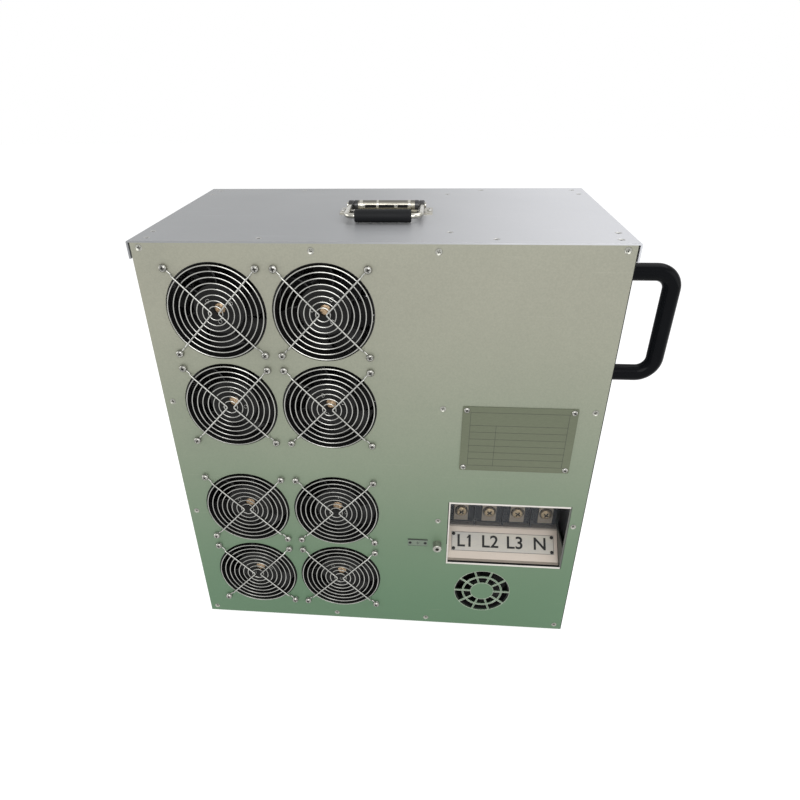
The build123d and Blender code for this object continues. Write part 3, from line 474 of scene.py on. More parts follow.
# One twisted, cambered blade that sweeps back towards its tip.
def addBlade(bm, centre, turn, shape, rootRadius):
    made = bmesh.ops.create_grid(bm, x_segments=7, y_segments=9, size=0.5)["verts"]
    faces = list({face for vert in made for face in vert.link_faces})
    innerRadius = rootRadius - shape["bladeRoot"]
    reach = shape["tipRadius"] - innerRadius
    for vert in made:
        t, u = vert.co.x + 0.5, vert.co.y
        radius = innerRadius + reach * t
        chord = shape["rootChord"] + (shape["tipChord"] - shape["rootChord"]) * t
        pitch = radians(shape["rootPitch"] + (shape["tipPitch"] - shape["rootPitch"]) * t)
        bulge = shape["camber"] * chord * (1 - 4 * u * u)
        sideways = u * chord * cos(pitch) - bulge * sin(pitch)
        depth = u * chord * sin(pitch) + bulge * cos(pitch)
        angle = turn + radians(shape["sweep"]) * t * t + sideways / radius
        vert.co = (centre.x + radius * cos(angle), centre.y + depth, centre.z + radius * sin(angle))
    bmesh.ops.recalc_face_normals(bm, faces=faces)
    bmesh.ops.solidify(bm, geom=faces, thickness=shape["bladeThickness"])


# A hub with a recessed face, three bright rings that are painted highlights for the lit rims of three
# holes, a bright centre, and its blades.
def buildRotor(name, node, body, shape, capLook, turn):
    low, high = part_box(node)
    centre = (low + high) / 2
    hub, face = shape["hubRadius"], low.y
    back = high.y - shape["backSpace"]
    well, deep, end = shape["well"], back - face, high.y - face
    profile = [(0, well), (hub * 0.2, well), (hub * 0.24, 0.9 * mm), (hub * 0.42, 0.5 * mm),
               (hub * 0.46, 1.3 * mm), (hub * 0.8, 1.3 * mm), (hub * 0.84, 0.2 * mm),
               (hub * 0.93, 0.2 * mm), (hub * 0.985, 0.8 * mm), (hub, 2.4 * mm), (hub, deep),
               (hub * 0.12, deep), (hub * 0.1, end), (0, end)]
    bm = bmesh.new()
    spinProfile(bm, profile, (centre.x, face, centre.z), (0, 1, 0), 56)
    bladeMiddle = Vector((centre.x, (face + back) / 2, centre.z))
    for k in range(shape["blades"]):
        addBlade(bm, bladeMiddle, 2 * pi * k / shape["blades"] + turn, shape, hub)
    addPiece(name, bm, "rotorBlack", body, stands=[node], crease=45)
    # Painted highlights: bright rings where the hub's three holes catch the light.
    holeHighlights = bmesh.new()
    for k in range(3):
        angle = radians(90 + 120 * k) + turn
        away = Vector((cos(angle), 0, sin(angle))) * shape["ringAt"]
        place = Vector((centre.x, face + shape["ringDepth"], centre.z)) + away
        addRing(holeHighlights, place, shape["ring"], shape["ringWire"], (0, 1, 0), 20)
    addPiece(f"{name}_rings", holeHighlights, "wireChrome", body)
    patch, rim = bmesh.new(), shape["patch"]
    profile = [(0, well - 1.0 * mm), (rim * 0.75, well - 0.8 * mm), (rim, well - 0.05 * mm)]
    spinProfile(patch, profile, (centre.x, face, centre.z), (0, 1, 0), 28)
    addPiece(f"{name}_centre", patch, capLook, body)


bellShape = {"bore": 58 * mm, "lip": 1.1 * mm, "inset": 0.15 * mm, "sink": 0.05 * mm, "backSpace": 6 * mm}


# The rounded inlet lip inside the front of a fan housing.
def buildBell(name, node):
    low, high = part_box(node)
    centre = (low + high) / 2
    lip, bore = bellShape["lip"], bellShape["bore"]
    inner = bore - bellShape["inset"]
    angles = [radians(15 * k) for k in range(7)]
    profile = [(bore + lip * (1 - sin(a)), lip * (1 - cos(a)) + bellShape["sink"]) for a in angles]
    profile += [(inner, lip + 1 * mm), (inner, high.y - low.y - bellShape["backSpace"])]
    bm = bmesh.new()
    spinProfile(bm, profile, (centre.x, low.y, centre.z), (0, 1, 0), 72)
    addPiece(name, bm, "fanBlack")


fanTurns = {"first": 0.35, "step": 0.6, "vent": 0.2}
for index in range(1, 9):
    turn = fanTurns["first"] + index * fanTurns["step"]
    buildRotor(f"rotor_{index}", f"fan_rotor_{index}", f"fan_{index}", rotorShape, "gold", turn)
    buildBell(f"bell_{index}", f"fan_frame_{index}")
ventRotor = dict(rotorShape, hubRadius=17 * mm, tipRadius=35.2 * mm, rootChord=18 * mm, tipChord=22 * mm,
                 well=2 * mm, patch=3 * mm, ringAt=9 * mm, ring=1.2 * mm, bladeThickness=1.2 * mm)
buildRotor("rotor_vent", "vent_fan_rotor", "vent_fan", ventRotor, "rotorBlack", fanTurns["vent"])
print("rotors made")

# screws
screwShapes = {
    "sunk": {"profile": [(0.64, -0.22), (0.95, -0.03), (0.94, -0.06), (0.5, -0.5)],
             "cross": 0.5, "depth": 1.3 * mm},
    "pan": {"radius": 4.8 * mm, "cross": 0.48, "depth": 1.7 * mm,
            "profile": [(0.6, 0.62), (0.74, 0.55), (0.88, 0.42), (0.97, 0.24), (1.0, 0.0)]},
    "plate": {"radius": 3.9 * mm, "profile": [(0.6, 0.5), (0.8, 0.42), (0.95, 0.2), (1.0, 0.0)],
              "cross": 0.5, "depth": 1.1 * mm},
    "rivet": {"radius": 2.45 * mm},
    "terminal": {"radius": 8.3 * mm, "cross": 0.52, "depth": 2.6 * mm,
                 "profile": [(0.62, 0.50), (0.8, 0.46), (0.93, 0.36), (1.0, 0.2), (1.0, 0.0)]},
}
crossArm = 0.13
recessFloor = 0.55
goldenTurn = 2.399


# A head with a cross recess, at the middle of its seat, facing outward, with painted shade on the faces in
# the recess.
def addScrewHead(bm, place, outward, kind, turn, radius=None):
    shape = screwShapes[kind]
    radius = radius or shape["radius"]
    outward = Vector(outward).normalized()
    sideways = Matrix.Rotation(turn, 3, outward) @ outward.orthogonal().normalized()
    other = outward.cross(sideways)
    arm, half = shape["cross"] * radius, crossArm * radius
    cross = []
    for k in range(4):
        for a, b in ((arm, -half), (arm, half), (half, half)):
            c, s = cos(k * pi / 2), sin(k * pi / 2)
            cross.append((a * c - b * s, a * s + b * c))
    crossLoop = []
    for (a, b), (c, d) in zip(cross, cross[1:] + cross[:1]):
        crossLoop += [(a, b), ((a + c) / 2, (b + d) / 2)]

    def ring(points, height):
        return [Vector(place) + sideways * a + other * b + outward * height for a, b in points]

    top = shape["profile"][0][1] * radius
    angles = [atan2(b, a) for a, b in crossLoop]
    floorLoop = [(a * recessFloor, b * recessFloor) for a, b in crossLoop]
    rings = [ring(floorLoop, top - shape["depth"]), ring(crossLoop, top)]
    for r, h in shape["profile"]:
        around = [(r * radius * cos(angle), r * radius * sin(angle)) for angle in angles]
        rings.append(ring(around, h * radius))
    floorFace = loftRings(bm, rings)
    # The recess floor and walls take the second look: painted shade.
    for face in {face for vert in floorFace.verts for face in vert.link_faces}:
        face.material_index = 1


# A different angle for each screw, the same on every run.
def screwTurn(k):
    return (k * goldenTurn) % pi


# The box of each separate solid in a CAD node, lowest and highest corner.
def solidBoxes(node):
    bm = bmesh.new()
    bm.from_mesh(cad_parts[node].data)
    bmesh.ops.remove_doubles(bm, verts=bm.verts, dist=1e-6)
    left, boxes = set(bm.verts), []
    while left:
        group, edge = set(), [left.pop()]
        while edge:
            vert = edge.pop()
            group.add(vert)
            for link in vert.link_edges:
                other = link.other_vert(vert)
                if other in left:
                    left.remove(other)
                    edge.append(other)
        boxes.append((Vector([min(v.co[k] for v in group) for k in range(3)]),
                      Vector([max(v.co[k] for v in group) for k in range(3)])))
    bm.free()
    return sorted(boxes, key=lambda pair: tuple(round(c, 4) for c in pair[0]))


# Heads for every case screw: sunk ones in front and on top, domed ones elsewhere.
def buildCaseScrews():
    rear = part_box("rear_panel")[1].y
    zincHeads, topHeads = bmesh.new(), bmesh.new()
    for k, (low, high) in enumerate(solidBoxes("case_screws")):
        middle = (low + high) / 2
        wide = sorted(high - low)[1] / 2
        if low.y < panelLow.y + 0.5 * mm:
            place, outward, kind = (middle.x, low.y - 0.02 * mm, middle.z), (0, -1, 0), "sunk"
        elif high.y > rear + 0.5 * mm:
            place, outward, kind = (middle.x, rear, middle.z), (0, 1, 0), "pan"
        elif low.z < panelLow.z:
            place, outward, kind = (middle.x, middle.y, low.z + 2.2 * mm), (0, 0, -1), "pan"
        elif high.z > coverHigh.z + 1 * mm:
            place, outward, kind = (middle.x, middle.y, high.z - 2.2 * mm), (0, 0, 1), "pan"
        else:
            place, outward, kind = (middle.x, middle.y, high.z + 0.02 * mm), (0, 0, 1), "sunk"
        bm = topHeads if outward == (0, 0, 1) else zincHeads
        addScrewHead(bm, place, outward, kind, screwTurn(k), wide)
    addPiece("case_screw_heads", zincHeads, "zinc", stands=["case_screws"],
             paintedShadeLook="recess")
    addPiece("cover_screw_heads", topHeads, "topZinc", paintedShadeLook="recess")


# Bright cross heads on the nameplate and dark rivets on the sloping label.
def buildPlateFixings():
    labelLow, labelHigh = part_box("terminal_label")
    slope = atan2(labelHigh.z - labelLow.z, labelHigh.y - labelLow.y)
    heads, rivets = bmesh.new(), bmesh.new()
    for k, (low, high) in enumerate(solidBoxes("plate_fixings")):
        middle = (low + high) / 2
        if low.z > labelHigh.z + 10 * mm:
            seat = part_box("nameplate")[0].y
            addScrewHead(heads, (middle.x, seat, middle.z), (0, -1, 0), "plate", screwTurn(k + 3))
        else:
            radius = screwShapes["rivet"]["radius"]
            profile = [(0, 0.9 * mm), (radius * 0.5, 0.8 * mm), (radius * 0.85, 0.45 * mm),
                       (radius, 0.02 * mm), (0, 0)]
            spinProfile(rivets, profile, middle, (0, -sin(slope), cos(slope)), 24)
    addPiece("nameplate_screws", heads, "headChrome", stands=["plate_fixings"],
             paintedShadeLook="recess")
    addPiece("label_rivets", rivets, "darkFixing")


# Large brass heads on the terminal bars.
def buildTerminalScrews():
    bm = bmesh.new()
    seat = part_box("terminal_plates")[0].y
    for k, (low, high) in enumerate(solidBoxes("terminal_screws")):
        middle = (low + high) / 2
        addScrewHead(bm, (middle.x, seat, middle.z), (0, -1, 0), "terminal", screwTurn(k),
                     (high.x - low.x) / 2)
    addPiece("terminal_screw_heads", bm, "brass", stands=["terminal_screws"],
             paintedShadeLook="recess")
    washers = bmesh.new()
    for low, high in solidBoxes("terminal_screws"):
        middle = (low + high) / 2
        outer = screwShapes["terminal"]["radius"] + 1.1 * mm
        profile = [(0, 0.35 * mm), (outer - 0.2 * mm, 0.35 * mm), (outer, 0.1 * mm), (outer, 0), (0, 0)]
        spinProfile(washers, profile, (middle.x, seat, middle.z), (0, -1, 0), 40)
    addPiece("terminal_washers", washers, "darkFixing")


fanScrews = bmesh.new()
turnIndex = 0
for index in range(1, 9):
    low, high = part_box(f"fan_guard_{index}")
    centre = (low + high) / 2
    for sx in (-1, 1):
        for sz in (-1, 1):
            eye = guardShape["eyeFromAxis"]
            place = (centre.x + sx * eye, high.y - 2 * guardShape["spokeWire"], centre.z + sz * eye)
            addScrewHead(fanScrews, place, (0, -1, 0), "pan", screwTurn(turnIndex))
            turnIndex += 1
addPiece("fan_screw_heads", fanScrews, "headChrome", stands=["fan_screws"],
         paintedShadeLook="recess")
buildCaseScrews()
buildPlateFixings()
buildTerminalScrews()
print("screws made")

# side handle
handleShape = {"bend": 21 * mm, "groove": 0.7 * mm, "grooveNarrow": 40, "halfThick": 9.6 * mm,
               "halfWide": 10.4 * mm, "collar": 13 * mm}


# A bent tube with a faint groove along its front, and a collar at each end.
def buildSideHandle(shape=handleShape):
    low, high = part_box("side_handle")
    wide, thick = shape["halfWide"], shape["halfThick"]
    reach = high.x - wide
    collar = shape["collar"]
    lowZ, highZ, middleY = low.z + collar, high.z - collar, (low.y + high.y) / 2
    corners = [(x, middleY, z) for x, z in ((low.x, lowZ), (reach, lowZ), (reach, highZ), (low.x, highZ))]
    section = []
    for k in range(40):
        angle = 2 * pi * k / 40
        groove = 1 - shape["groove"] / thick * max(0.0, -sin(angle)) ** shape["grooveNarrow"]
        section.append((wide * cos(angle), thick * sin(angle) * groove))
    bm = bmesh.new()
    sweepTube(bm, roundedPath(corners, shape["bend"], 14), section, (0, 1, 0))
    for z in (lowZ, highZ):
        profile = [(0, 0), (collar, 0), (collar, 2.6 * mm), (collar - 1.4 * mm, 4 * mm),
                   (wide - 0.4 * mm, 4.4 * mm)]
        spinProfile(bm, profile, (low.x, middleY, z), (1, 0, 0), 48)
    addPiece("side_grip", bm, "handleBlack", stands=["side_handle"], crease=50)


buildSideHandle()
print("side handle made")

# top bail
bailShape = {"wire": 3 * mm, "bend": 10 * mm, "knuckle": 5.8 * mm, "knuckleWide": 7 * mm,
             "bushFrom": 0.87, "collars": [(-0.78, 2.4), (-0.27, 1.6), (0.70, 2.0)],
             "slots": [(-0.655, -0.32), (-0.245, 0.24), (0.35, 0.71)],
             "highlightPatches": [(-0.745, -0.665), (0.25, 0.34)], "slotAngles": (76, 112), "slotLift": 0.06 * mm,
             "endRun": 5 * mm, "gripEdge": 1.2 * mm, "pinFit": 2.45 * mm, "endGap": 0.3 * mm}


# The chrome bail with its knuckles, and the grip over it.
def buildBail(shape=bailShape):
    low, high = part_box("bail")
    gripLow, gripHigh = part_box("bail_grip")
    pinLow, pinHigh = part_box("bail_pin")
    hinge = (pinLow + pinHigh) / 2
    halfWide = (high.x - low.x) / 2 - shape["knuckleWide"] / 2
    gripY = (gripLow.y + gripHigh.y) / 2
    endRun, edge = shape["endRun"], shape["gripEdge"]
    corners = [(hinge.x - halfWide, hinge.y - endRun, hinge.z), (hinge.x - halfWide, gripY, hinge.z),
               (hinge.x + halfWide, gripY, hinge.z), (hinge.x + halfWide, hinge.y - endRun, hinge.z)]
    bm = bmesh.new()
    path = roundedPath(corners, shape["bend"], 10)
    sweepTube(bm, path, roundSection(shape["wire"], 20), (0, 0, 1))
    addPiece("bail_wire", bm, "chrome", "bail_handle", stands=["bail"])
    knuckles = bmesh.new()
    inner, outer, wide = shape["pinFit"], shape["knuckle"], shape["knuckleWide"] / 2
    profile = [(inner, -wide), (outer - 1.2 * mm, -wide), (outer - 0.3 * mm, 0.4 * mm - wide),
               (outer, 1.3 * mm - wide), (outer, wide - 1.3 * mm), (outer - 0.3 * mm, wide - 0.4 * mm),
               (outer - 1.2 * mm, wide), (inner, wide), (inner, -wide)]
    for side in (-1, 1):
        spinProfile(knuckles, profile, (hinge.x + side * halfWide, hinge.y, hinge.z), (1, 0, 0), 40)
    addPiece("bail_knuckles", knuckles, "bushBlack", "bail_handle")
    grip = bmesh.new()
    radius = (gripHigh.z - gripLow.z) / 2
    length = gripHigh.x - gripLow.x
    profile = [(shape["wire"], 0), (radius - edge, 0), (radius, edge), (radius, length - edge),
               (radius - edge, length), (shape["wire"], length)]
    spinProfile(grip, profile, (gripLow.x, gripY, hinge.z), (1, 0, 0), 48)
    addPiece("bail_grip_sleeve", grip, "rubber", "bail_handle", stands=["bail_grip"])


# A thin curved patch on a barrel along X; angles run from straight up towards the front.
def addPatch(bm, hinge, radius, ends, angles, thickness):
    first = Vector((0, -sin(radians(angles[0])), cos(radians(angles[0])))) * radius
    verts = [bm.verts.new(hinge + first + Vector((x, 0, 0))) for x in ends]
    made = bmesh.ops.spin(bm, geom=verts + [bm.edges.new(verts)], cent=hinge, axis=(1, 0, 0),
                          dvec=(0, 0, 0), angle=radians(angles[1] - angles[0]), steps=6)
    edge = [item for item in made["geom_last"] if isinstance(item, bmesh.types.BMVert)]
    faces, fresh = set(), list({face for vert in edge for face in vert.link_faces})
    while fresh:
        faces.update(fresh)
        fresh = [other for face in fresh for side in face.edges for other in side.link_faces
                 if other not in faces]
    bmesh.ops.solidify(bm, geom=list(faces), thickness=thickness)


# Black end bushes, bright collars, and along the front of the spring barrel black patches of painted shade
# for its slots and bright patches of painted highlight.
def buildBarrelTrim(shape=bailShape):
    low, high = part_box("bail_base")
    pinLow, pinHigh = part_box("bail_pin")
    bailLow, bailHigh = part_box("bail")
    hinge = (pinLow + pinHigh) / 2
    half = (bailHigh.x - bailLow.x) / 2 - shape["knuckleWide"] - shape["endGap"]
    barrel = high.z - hinge.z
    bushes = bmesh.new()
    start, under, over = shape["bushFrom"] * half, barrel - 0.6 * mm, barrel + 0.25 * mm
    profile = [(under, start), (over, start + 0.3 * mm), (over, half - 0.6 * mm), (barrel - 0.4 * mm, half),
               (under, half), (under, start)]
    for side in (-1, 1):
        spinProfile(bushes, profile, hinge, (side, 0, 0), 36)
    addPiece("barrel_bushes", bushes, "bushBlack")
    collars = bmesh.new()
    for share, wide in shape["collars"]:
        wide, under, over = wide * mm, barrel - 0.4 * mm, barrel + 0.2 * mm
        profile = [(under, -wide), (over, 0.3 * mm - wide), (over, wide - 0.3 * mm), (under, wide),
                   (under, -wide)]
        spinProfile(collars, profile, hinge + Vector((share * half, 0, 0)), (1, 0, 0), 36)
    addPiece("barrel_collars", collars, "chrome")
    # Painted shade: black patches for the slots. Painted highlights: bright patches beside them.
    slots, highlightPatches = bmesh.new(), bmesh.new()
    lift, angles = shape["slotLift"], shape["slotAngles"]
    for bm, spans in ((slots, shape["slots"]), (highlightPatches, shape["highlightPatches"])):
        for start, end in spans:
            addPatch(bm, hinge, barrel + lift, (start * half, end * half), angles, 2 * lift)
    addPiece("barrel_slot_painted_shade", slots, "paintedShade")
    # Painted highlights: the bright patches on the barrel.
    addPiece("barrel_painted_highlights", highlightPatches, "wireChrome")


buildBail()
buildBarrelTrim()
print("bail made")

# nameplate and labels
plateShape = {"line": 0.55 * mm, "rise": 0.08 * mm, "margin": 10 * mm,
              "rows": [0.235, 0.36, 0.49, 0.615, 0.74, 0.87], "columns": [0.27]}


# The empty ruled table on the plate.
def buildPlateLines(shape=plateShape):
    low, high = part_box("nameplate")
    left, right = low.x + shape["margin"], high.x - shape["margin"]
    base, top = low.z + shape["margin"] * 0.8, high.z - shape["margin"] * 0.8
    half = shape["line"] / 2
    bm = bmesh.new()
    near, far = low.y - shape["rise"], low.y + 0.05 * mm
    for share in [0, 1] + shape["rows"]:
        z = top - (top - base) * share
        addBox(bm, (left - half, near, z - half), (right + half, far, z + half))
    for share in [0, 1] + shape["columns"]:
        x = left + (right - left) * share
        head = top if share in (0, 1) else top - (top - base) * shape["rows"][0]
        addBox(bm, (x - half, near, base), (x + half, far, head))
    addPiece("plate_table", bm, "plateInk")


buildPlateLines()

labelShape = {"words": ["L1", "L2", "L3", "N"], "height": 17.2 * mm, "rise": 0.05 * mm, "weight": 0.022,
              "widen": 1.04, "stroke": 0.13, "pitch": 0.2525, "wordLift": 0.45 * mm,
              "rimLift": 0.41 * mm, "rimLine": 0.35 * mm, "rimRise": 0.06 * mm}


# The turn of the sloping label, and the middle of its face moved out by a distance.
def onLabel(lift):
    low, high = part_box("terminal_label")
    slope = atan2(high.z - low.z, high.y - low.y)
    middle = (low + high) / 2 + Vector((0, -sin(slope), cos(slope))) * lift
    return Matrix.Rotation(slope, 4, "X"), middle


# A phase mark as a thin raised mesh, centred at a place. A last figure 1 gets a flag.
def addWord(word, place, turn):
    name, height = f"phase_{word}", labelShape["height"]
    curve = bpy.data.curves.new(name, "FONT")
    curve.body = word
    curve.align_x = "CENTER"
    curve.align_y = "CENTER"
    curve.size = height / 0.7
    curve.extrude = labelShape["rise"]
    curve.offset = height * labelShape["weight"]
    source = bpy.data.objects.new(name + "_source", curve)
    bpy.context.scene.collection.objects.link(source)
    depsgraph = bpy.context.evaluated_depsgraph_get()
    bm = bmesh.new()
    bm.from_mesh(source.evaluated_get(depsgraph).to_mesh())
    bpy.data.objects.remove(source)
    if word.endswith("1"):
        right = max(vert.co.x for vert in bm.verts)
        top = max(vert.co.y for vert in bm.verts)
        stroke = height * labelShape["stroke"]
        flag = [(right - stroke * 0.6, top), (right - stroke * 2.3, top - height * 0.2),
                (right - stroke * 2.3, top - height * 0.33), (right - stroke * 0.9, top - height * 0.2)]
        loftRings(bm, [[Vector((x, y, sign * curve.extrude * 0.96)) for x, y in flag] for sign in (-1, 1)])
    widen = Matrix.Diagonal((labelShape["widen"], 1, 1, 1))
    bmesh.ops.transform(bm, matrix=Matrix.Translation(place) @ turn @ widen, verts=bm.verts)
    addPiece(name, bm, "ink")


# The four phase marks on the sloping label, one under each terminal.
def buildTerminalWords():
    platesLow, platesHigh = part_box("terminal_plates")
    turn, middle = onLabel(labelShape["wordLift"])
    pitch = (platesHigh.x - platesLow.x) * labelShape["pitch"]
    for k, word in enumerate(labelShape["words"]):
        addWord(word, middle + Vector(((k - 1.5) * pitch, 0, 0)), turn)


buildTerminalWords()


# A fine dark line round the sloping label.
def buildLabelRim():
    low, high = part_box("terminal_label")
    turn, middle = onLabel(labelShape["rimLift"])
    halfX = (high.x - low.x) / 2 - 0.4 * mm
    halfS = hypot(high.y - low.y, high.z - low.z) / 2 - 0.6 * mm
    line, rise = labelShape["rimLine"], labelShape["rimRise"]
    bm = bmesh.new()
    for sign in (-1, 1):
        addBox(bm, (-halfX, sign * halfS - line, 0), (halfX, sign * halfS + line, rise))
        addBox(bm, (sign * halfX - line, -halfS, 0), (sign * halfX + line, halfS, rise))
    bmesh.ops.transform(bm, matrix=Matrix.Translation(middle) @ turn, verts=bm.verts)
    addPiece("label_rim", bm, "dimSteel")


earthShape = {"studAt": 10.6 * mm, "studDrop": 0.8 * mm, "bars": (2.6, 1.7, 0.8), "barPitch": 1.1,
              "barTop": 0.4, "line": 0.2 * mm, "stem": 2.4 * mm}


# The earth marker's dark top line, its two fixings and a plain earth sign.
def buildEarthMark(shape=earthShape):
    low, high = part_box("earth_label")
    middle = (low + high) / 2
    near, far = low.y - 0.08 * mm, low.y + 0.05 * mm
    bm = bmesh.new()
    addBox(bm, (low.x, near, high.z - 1.7 * mm), (high.x, far, high.z - 0.1 * mm))
    addBox(bm, (low.x, near, low.z), (high.x, far, low.z + 0.35 * mm))
    stud = [(0, 0.7 * mm), (1.5 * mm, 0.6 * mm), (2.2 * mm, 0), (0, 0)]
    for sign in (-1, 1):
        place = (middle.x + sign * shape["studAt"], low.y, middle.z - shape["studDrop"])
        spinProfile(bm, stud, place, (0, -1, 0), 20)
    line = shape["line"]
    for k, half in enumerate(shape["bars"]):
        z = middle.z - (shape["barTop"] + shape["barPitch"] * k) * mm
        addBox(bm, (middle.x - half * mm, near, z - line), (middle.x + half * mm, far, z + line))
    addBox(bm, (middle.x - line, near, middle.z - shape["barTop"] * mm),
           (middle.x + line, far, middle.z + shape["stem"]))
    addPiece("earth_sign", bm, "ink")


coverMark = {"side": 2.9 * mm, "wire": 0.3 * mm, "apart": 0.258, "up": 14 * mm, "deep": 0.2 * mm}


# Two small raised diamonds on the clear cover.
def buildCoverMarks():
    low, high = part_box("terminal_cover")
    middle = (low + high) / 2
    apart = (high.x - low.x) * coverMark["apart"]
    bm = bmesh.new()
    for sign in (-1, 1):
        centre = (middle.x + sign * apart, low.y + coverMark["deep"], low.z + coverMark["up"])
        addRing(bm, centre, coverMark["side"], coverMark["wire"], (0, 1, 0), 4)
    addPiece("cover_marks", bm, "dimSteel", "clear_cover")


bayTop = bayHigh.z - 10 * mm


# Painted shade as black strips in the gaps round the terminal bay and along the front's right edge, and
# bright lips round the bay.
def buildBayTrim():
    rampLow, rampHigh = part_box("cable_ramp")
    bm = bmesh.new()
    front = panelLow.y
    # Painted shade: a black bar in the gap at the foot of the ramp, and a black strip at the bay's left
    # edge.
    addBox(bm, (rampLow.x, front + 0.5 * mm, rampLow.z - 0.1 * mm),
           (rampHigh.x, rampLow.y - 0.05 * mm, rampLow.z + 1.3 * mm))
    addBox(bm, (bayLow.x - 0.9 * mm, front - 0.05 * mm, rampHigh.z + 1 * mm),
           (bayLow.x + 0.1 * mm, front + 1 * mm, bayTop))
    addPiece("bay_gap_painted_shade", bm, "paintedShade")
    lips = bmesh.new()
    for z, high in ((rampLow.z - 2.7 * mm, 2.8 * mm), (bayTop - 2.4 * mm, 2.6 * mm)):
        addBox(lips, (bayLow.x, front - 0.2 * mm, z), (bayHigh.x - 1 * mm, front + 0.4 * mm, z + high),
               0.15 * mm, 1)
    addPiece("bay_lips", lips, "lipSheet")
    # Painted shade: a black strip in the gap beside the front's right edge.
    seam = bmesh.new()
    addBox(seam, (panelHigh.x, front + 0.4 * mm, panelLow.z),
           (panelHigh.x + 1.0 * mm, front + 3 * mm, panelHigh.z))
    addPiece("side_seam_painted_shade", seam, "paintedShade")


ventShape = {"wire": 0.4 * mm, "circles": [16.6 * mm, 27 * mm, 29 * mm, 40.2 * mm], "spokes": 10,
             "spokeWide": 2 * mm}


# The bright cut edges of the punched vent.
def buildVentEdges(shape=ventShape):
    low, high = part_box("vent_fan_frame")
    centre = Vector(((low.x + high.x) / 2, panelLow.y + 0.1 * mm, (low.z + high.z) / 2))
    wire = shape["wire"]
    bm = bmesh.new()
    for radius in shape["circles"]:
        addRing(bm, centre, radius, wire, (0, 1, 0), 72, 6)
    inner, outer = shape["circles"][0], shape["circles"][-1]
    for k in range(shape["spokes"]):
        angle = 2 * pi * k / shape["spokes"]
        along = Vector((cos(angle), 0, sin(angle)))
        sideways = Vector((-sin(angle), 0, cos(angle))) * shape["spokeWide"] / 2
        for sign in (-1, 1):
            start = centre + along * inner + sideways * sign
            path = [start, start + along * (outer - inner)]
            sweepTube(bm, path, roundSection(wire, 6), (0, 1, 0))
    addPiece("vent_edges", bm, "cutEdge")


buildLabelRim()
buildBayTrim()
buildVentEdges()
buildEarthMark()
buildCoverMarks()
print("labels made")

# heating elements
finShape = {"radius": 25 * mm, "thick": 0.8 * mm, "count": 34, "endSpace": 8 * mm, "hug": 0.98}


# Thin round fins along each heating rod.
def buildFins(shape=finShape):
    rackLow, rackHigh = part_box("rack_ends")
    start, end = rackLow.x + shape["endSpace"], rackHigh.x - shape["endSpace"]
    radius, half = shape["radius"], shape["thick"] / 2
    bm = bmesh.new()
    for low, high in solidBoxes("heater_elements"):
        middle = (low + high) / 2
        hole = (high.z - low.z) / 2 * shape["hug"]
        profile = [(hole, -half), (radius, -half), (radius, half), (hole, half)]
        for k in range(shape["count"]):
            x = start + (end - start) * k / (shape["count"] - 1)
            spinProfile(bm, profile, (x, middle.y, middle.z), (1, 0, 0), 14)
    addPiece("element_fins", bm, "elementSteel")


buildFins()
print("fins made")

# floor, light and camera
scene = bpy.context.scene
studio = {"room": (0.52, 0.525, 0.53), "floor": (0.62, 0.62, 0.61), "shadow": 0.3, "glow": 0.88,
          "floorHalf": 6, "floorGap": 0.2 * mm}


# 1 for rays from the camera, from a reflection or through glass, and 0 for light on a surface.
def seenDirectly(nodes, links):
    path = addNode(nodes, "LightPath")
    mirror = addNode(nodes, "Math", operation="MAXIMUM")
    glass = addNode(nodes, "Math", operation="MAXIMUM")
    links.new(path.outputs["Is Camera Ray"], mirror.inputs[0])
    links.new(path.outputs["Is Glossy Ray"], mirror.inputs[1])
    links.new(mirror.outputs["Value"], glass.inputs[0])
    links.new(path.outputs["Is Transmission Ray"], glass.inputs[1])
    return glass.outputs["Value"]


# White where it is seen, and a softer room for the light on the object.
def buildWorld():
    world = bpy.data.worlds.new("studio")
    scene.world = world
    world.use_nodes = True
    nodes, links = world.node_tree.nodes, world.node_tree.links
    nodes.clear()
    out, mix = addNode(nodes, "OutputWorld"), addNode(nodes, "MixShader")
    room = addNode(nodes, "Background", {"Color": (*studio["room"], 1)})
    white = addNode(nodes, "Background", {"Color": (1, 1, 1, 1)})
    links.new(seenDirectly(nodes, links), mix.inputs["Fac"])
    links.new(room.outputs["Background"], mix.inputs[1])
    links.new(white.outputs["Background"], mix.inputs[2])
    links.new(mix.outputs["Shader"], out.inputs["Surface"])


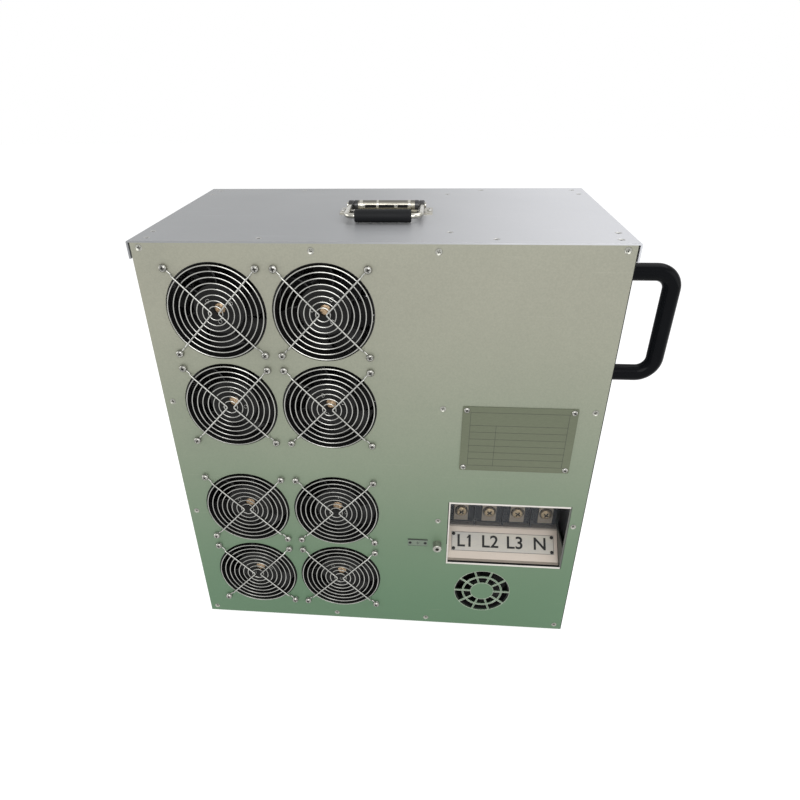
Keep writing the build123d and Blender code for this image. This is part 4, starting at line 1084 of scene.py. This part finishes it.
# A pale floor that shows white and keeps a soft shadow.
def buildFloor():
    material = bpy.data.materials.new("paleFloor")
    material.use_nodes = True
    nodes, links = material.node_tree.nodes, material.node_tree.links
    nodes.clear()
    out, mix = addNode(nodes, "OutputMaterial"), addNode(nodes, "MixShader")
    plain = addNode(nodes, "BsdfDiffuse", {"Color": (*studio["floor"], 1)})
    soft = addNode(nodes, "BsdfDiffuse", {"Color": (studio["shadow"],) * 3 + (1,)})
    glow = addNode(nodes, "Emission", {"Strength": studio["glow"]})
    both = addNode(nodes, "AddShader")
    links.new(soft.outputs["BSDF"], both.inputs[0])
    links.new(glow.outputs["Emission"], both.inputs[1])
    links.new(seenDirectly(nodes, links), mix.inputs["Fac"])
    links.new(plain.outputs["BSDF"], mix.inputs[1])
    links.new(both.outputs["Shader"], mix.inputs[2])
    links.new(mix.outputs["Shader"], out.inputs["Surface"])
    bm = bmesh.new()
    bmesh.ops.create_grid(bm, x_segments=1, y_segments=1, size=studio["floorHalf"],
                          matrix=Matrix.Translation((0, 0, startBounds[0][2] - studio["floorGap"])))
    mesh = bpy.data.meshes.new("floor")
    bm.to_mesh(mesh)
    bm.free()
    mesh.materials.append(material)
    floor = bpy.data.objects.new("floor", mesh)
    scene.collection.objects.link(floor)


# A soft square lamp aimed at a point.
def addLight(name, place, target, size, power):
    data = bpy.data.lights.new(name, "AREA")
    data.energy = power
    data.size = size
    lamp = bpy.data.objects.new(name, data)
    lamp.location = place
    lamp.rotation_euler = (Vector(target) - Vector(place)).to_track_quat("-Z", "Y").to_euler()
    scene.collection.objects.link(lamp)


buildWorld()
buildFloor()
bodyMiddle = (0.0, 0.0, 0.3)
lamps = {
    "key": {"place": (0.1, -1.9, 1.3), "size": 1.4, "power": 23.5},
    "fill": {"place": (1.9, -1.0, 0.9), "size": 1.4, "power": 9},
    "crown": {"place": (0.8, 0.2, 2.0), "size": 1.2, "power": 11.5},
    "side": {"place": (-1.9, -0.1, 0.8), "size": 1.4, "power": 16},
}
for name, lamp in lamps.items():
    addLight(name, lamp["place"], bodyMiddle, lamp["size"], lamp["power"])

cameraData = bpy.data.cameras.new("camera")
camera = bpy.data.objects.new("camera", cameraData)
scene.collection.objects.link(camera)
scene.camera = camera
view = {"fromPanel": (0.33176, -0.63916, 0.75245), "forward": (-0.08334, 0.85412, -0.51335),
        "up": (-0.02945, 0.51281, 0.85800), "sensor": 36, "lens": 27.01, "nearest": 0.01,
        "shiftX": 0.0299, "shiftY": 0.0204}
back = -Vector(view["forward"]).normalized()
right = Vector(view["up"]).cross(back).normalized()
up = back.cross(right)
turnMatrix = Matrix((right, up, back)).transposed().to_4x4()
viewpoint = Vector((panelLow.x, panelLow.y, panelLow.z)) + Vector(view["fromPanel"])
camera.matrix_world = Matrix.Translation(viewpoint) @ turnMatrix
cameraData.sensor_width = view["sensor"]
cameraData.lens = view["lens"]
cameraData.shift_x = view["shiftX"]
cameraData.shift_y = view["shiftY"]
cameraData.clip_start = view["nearest"]
scene.view_settings.view_transform = "Standard"
print("camera set")
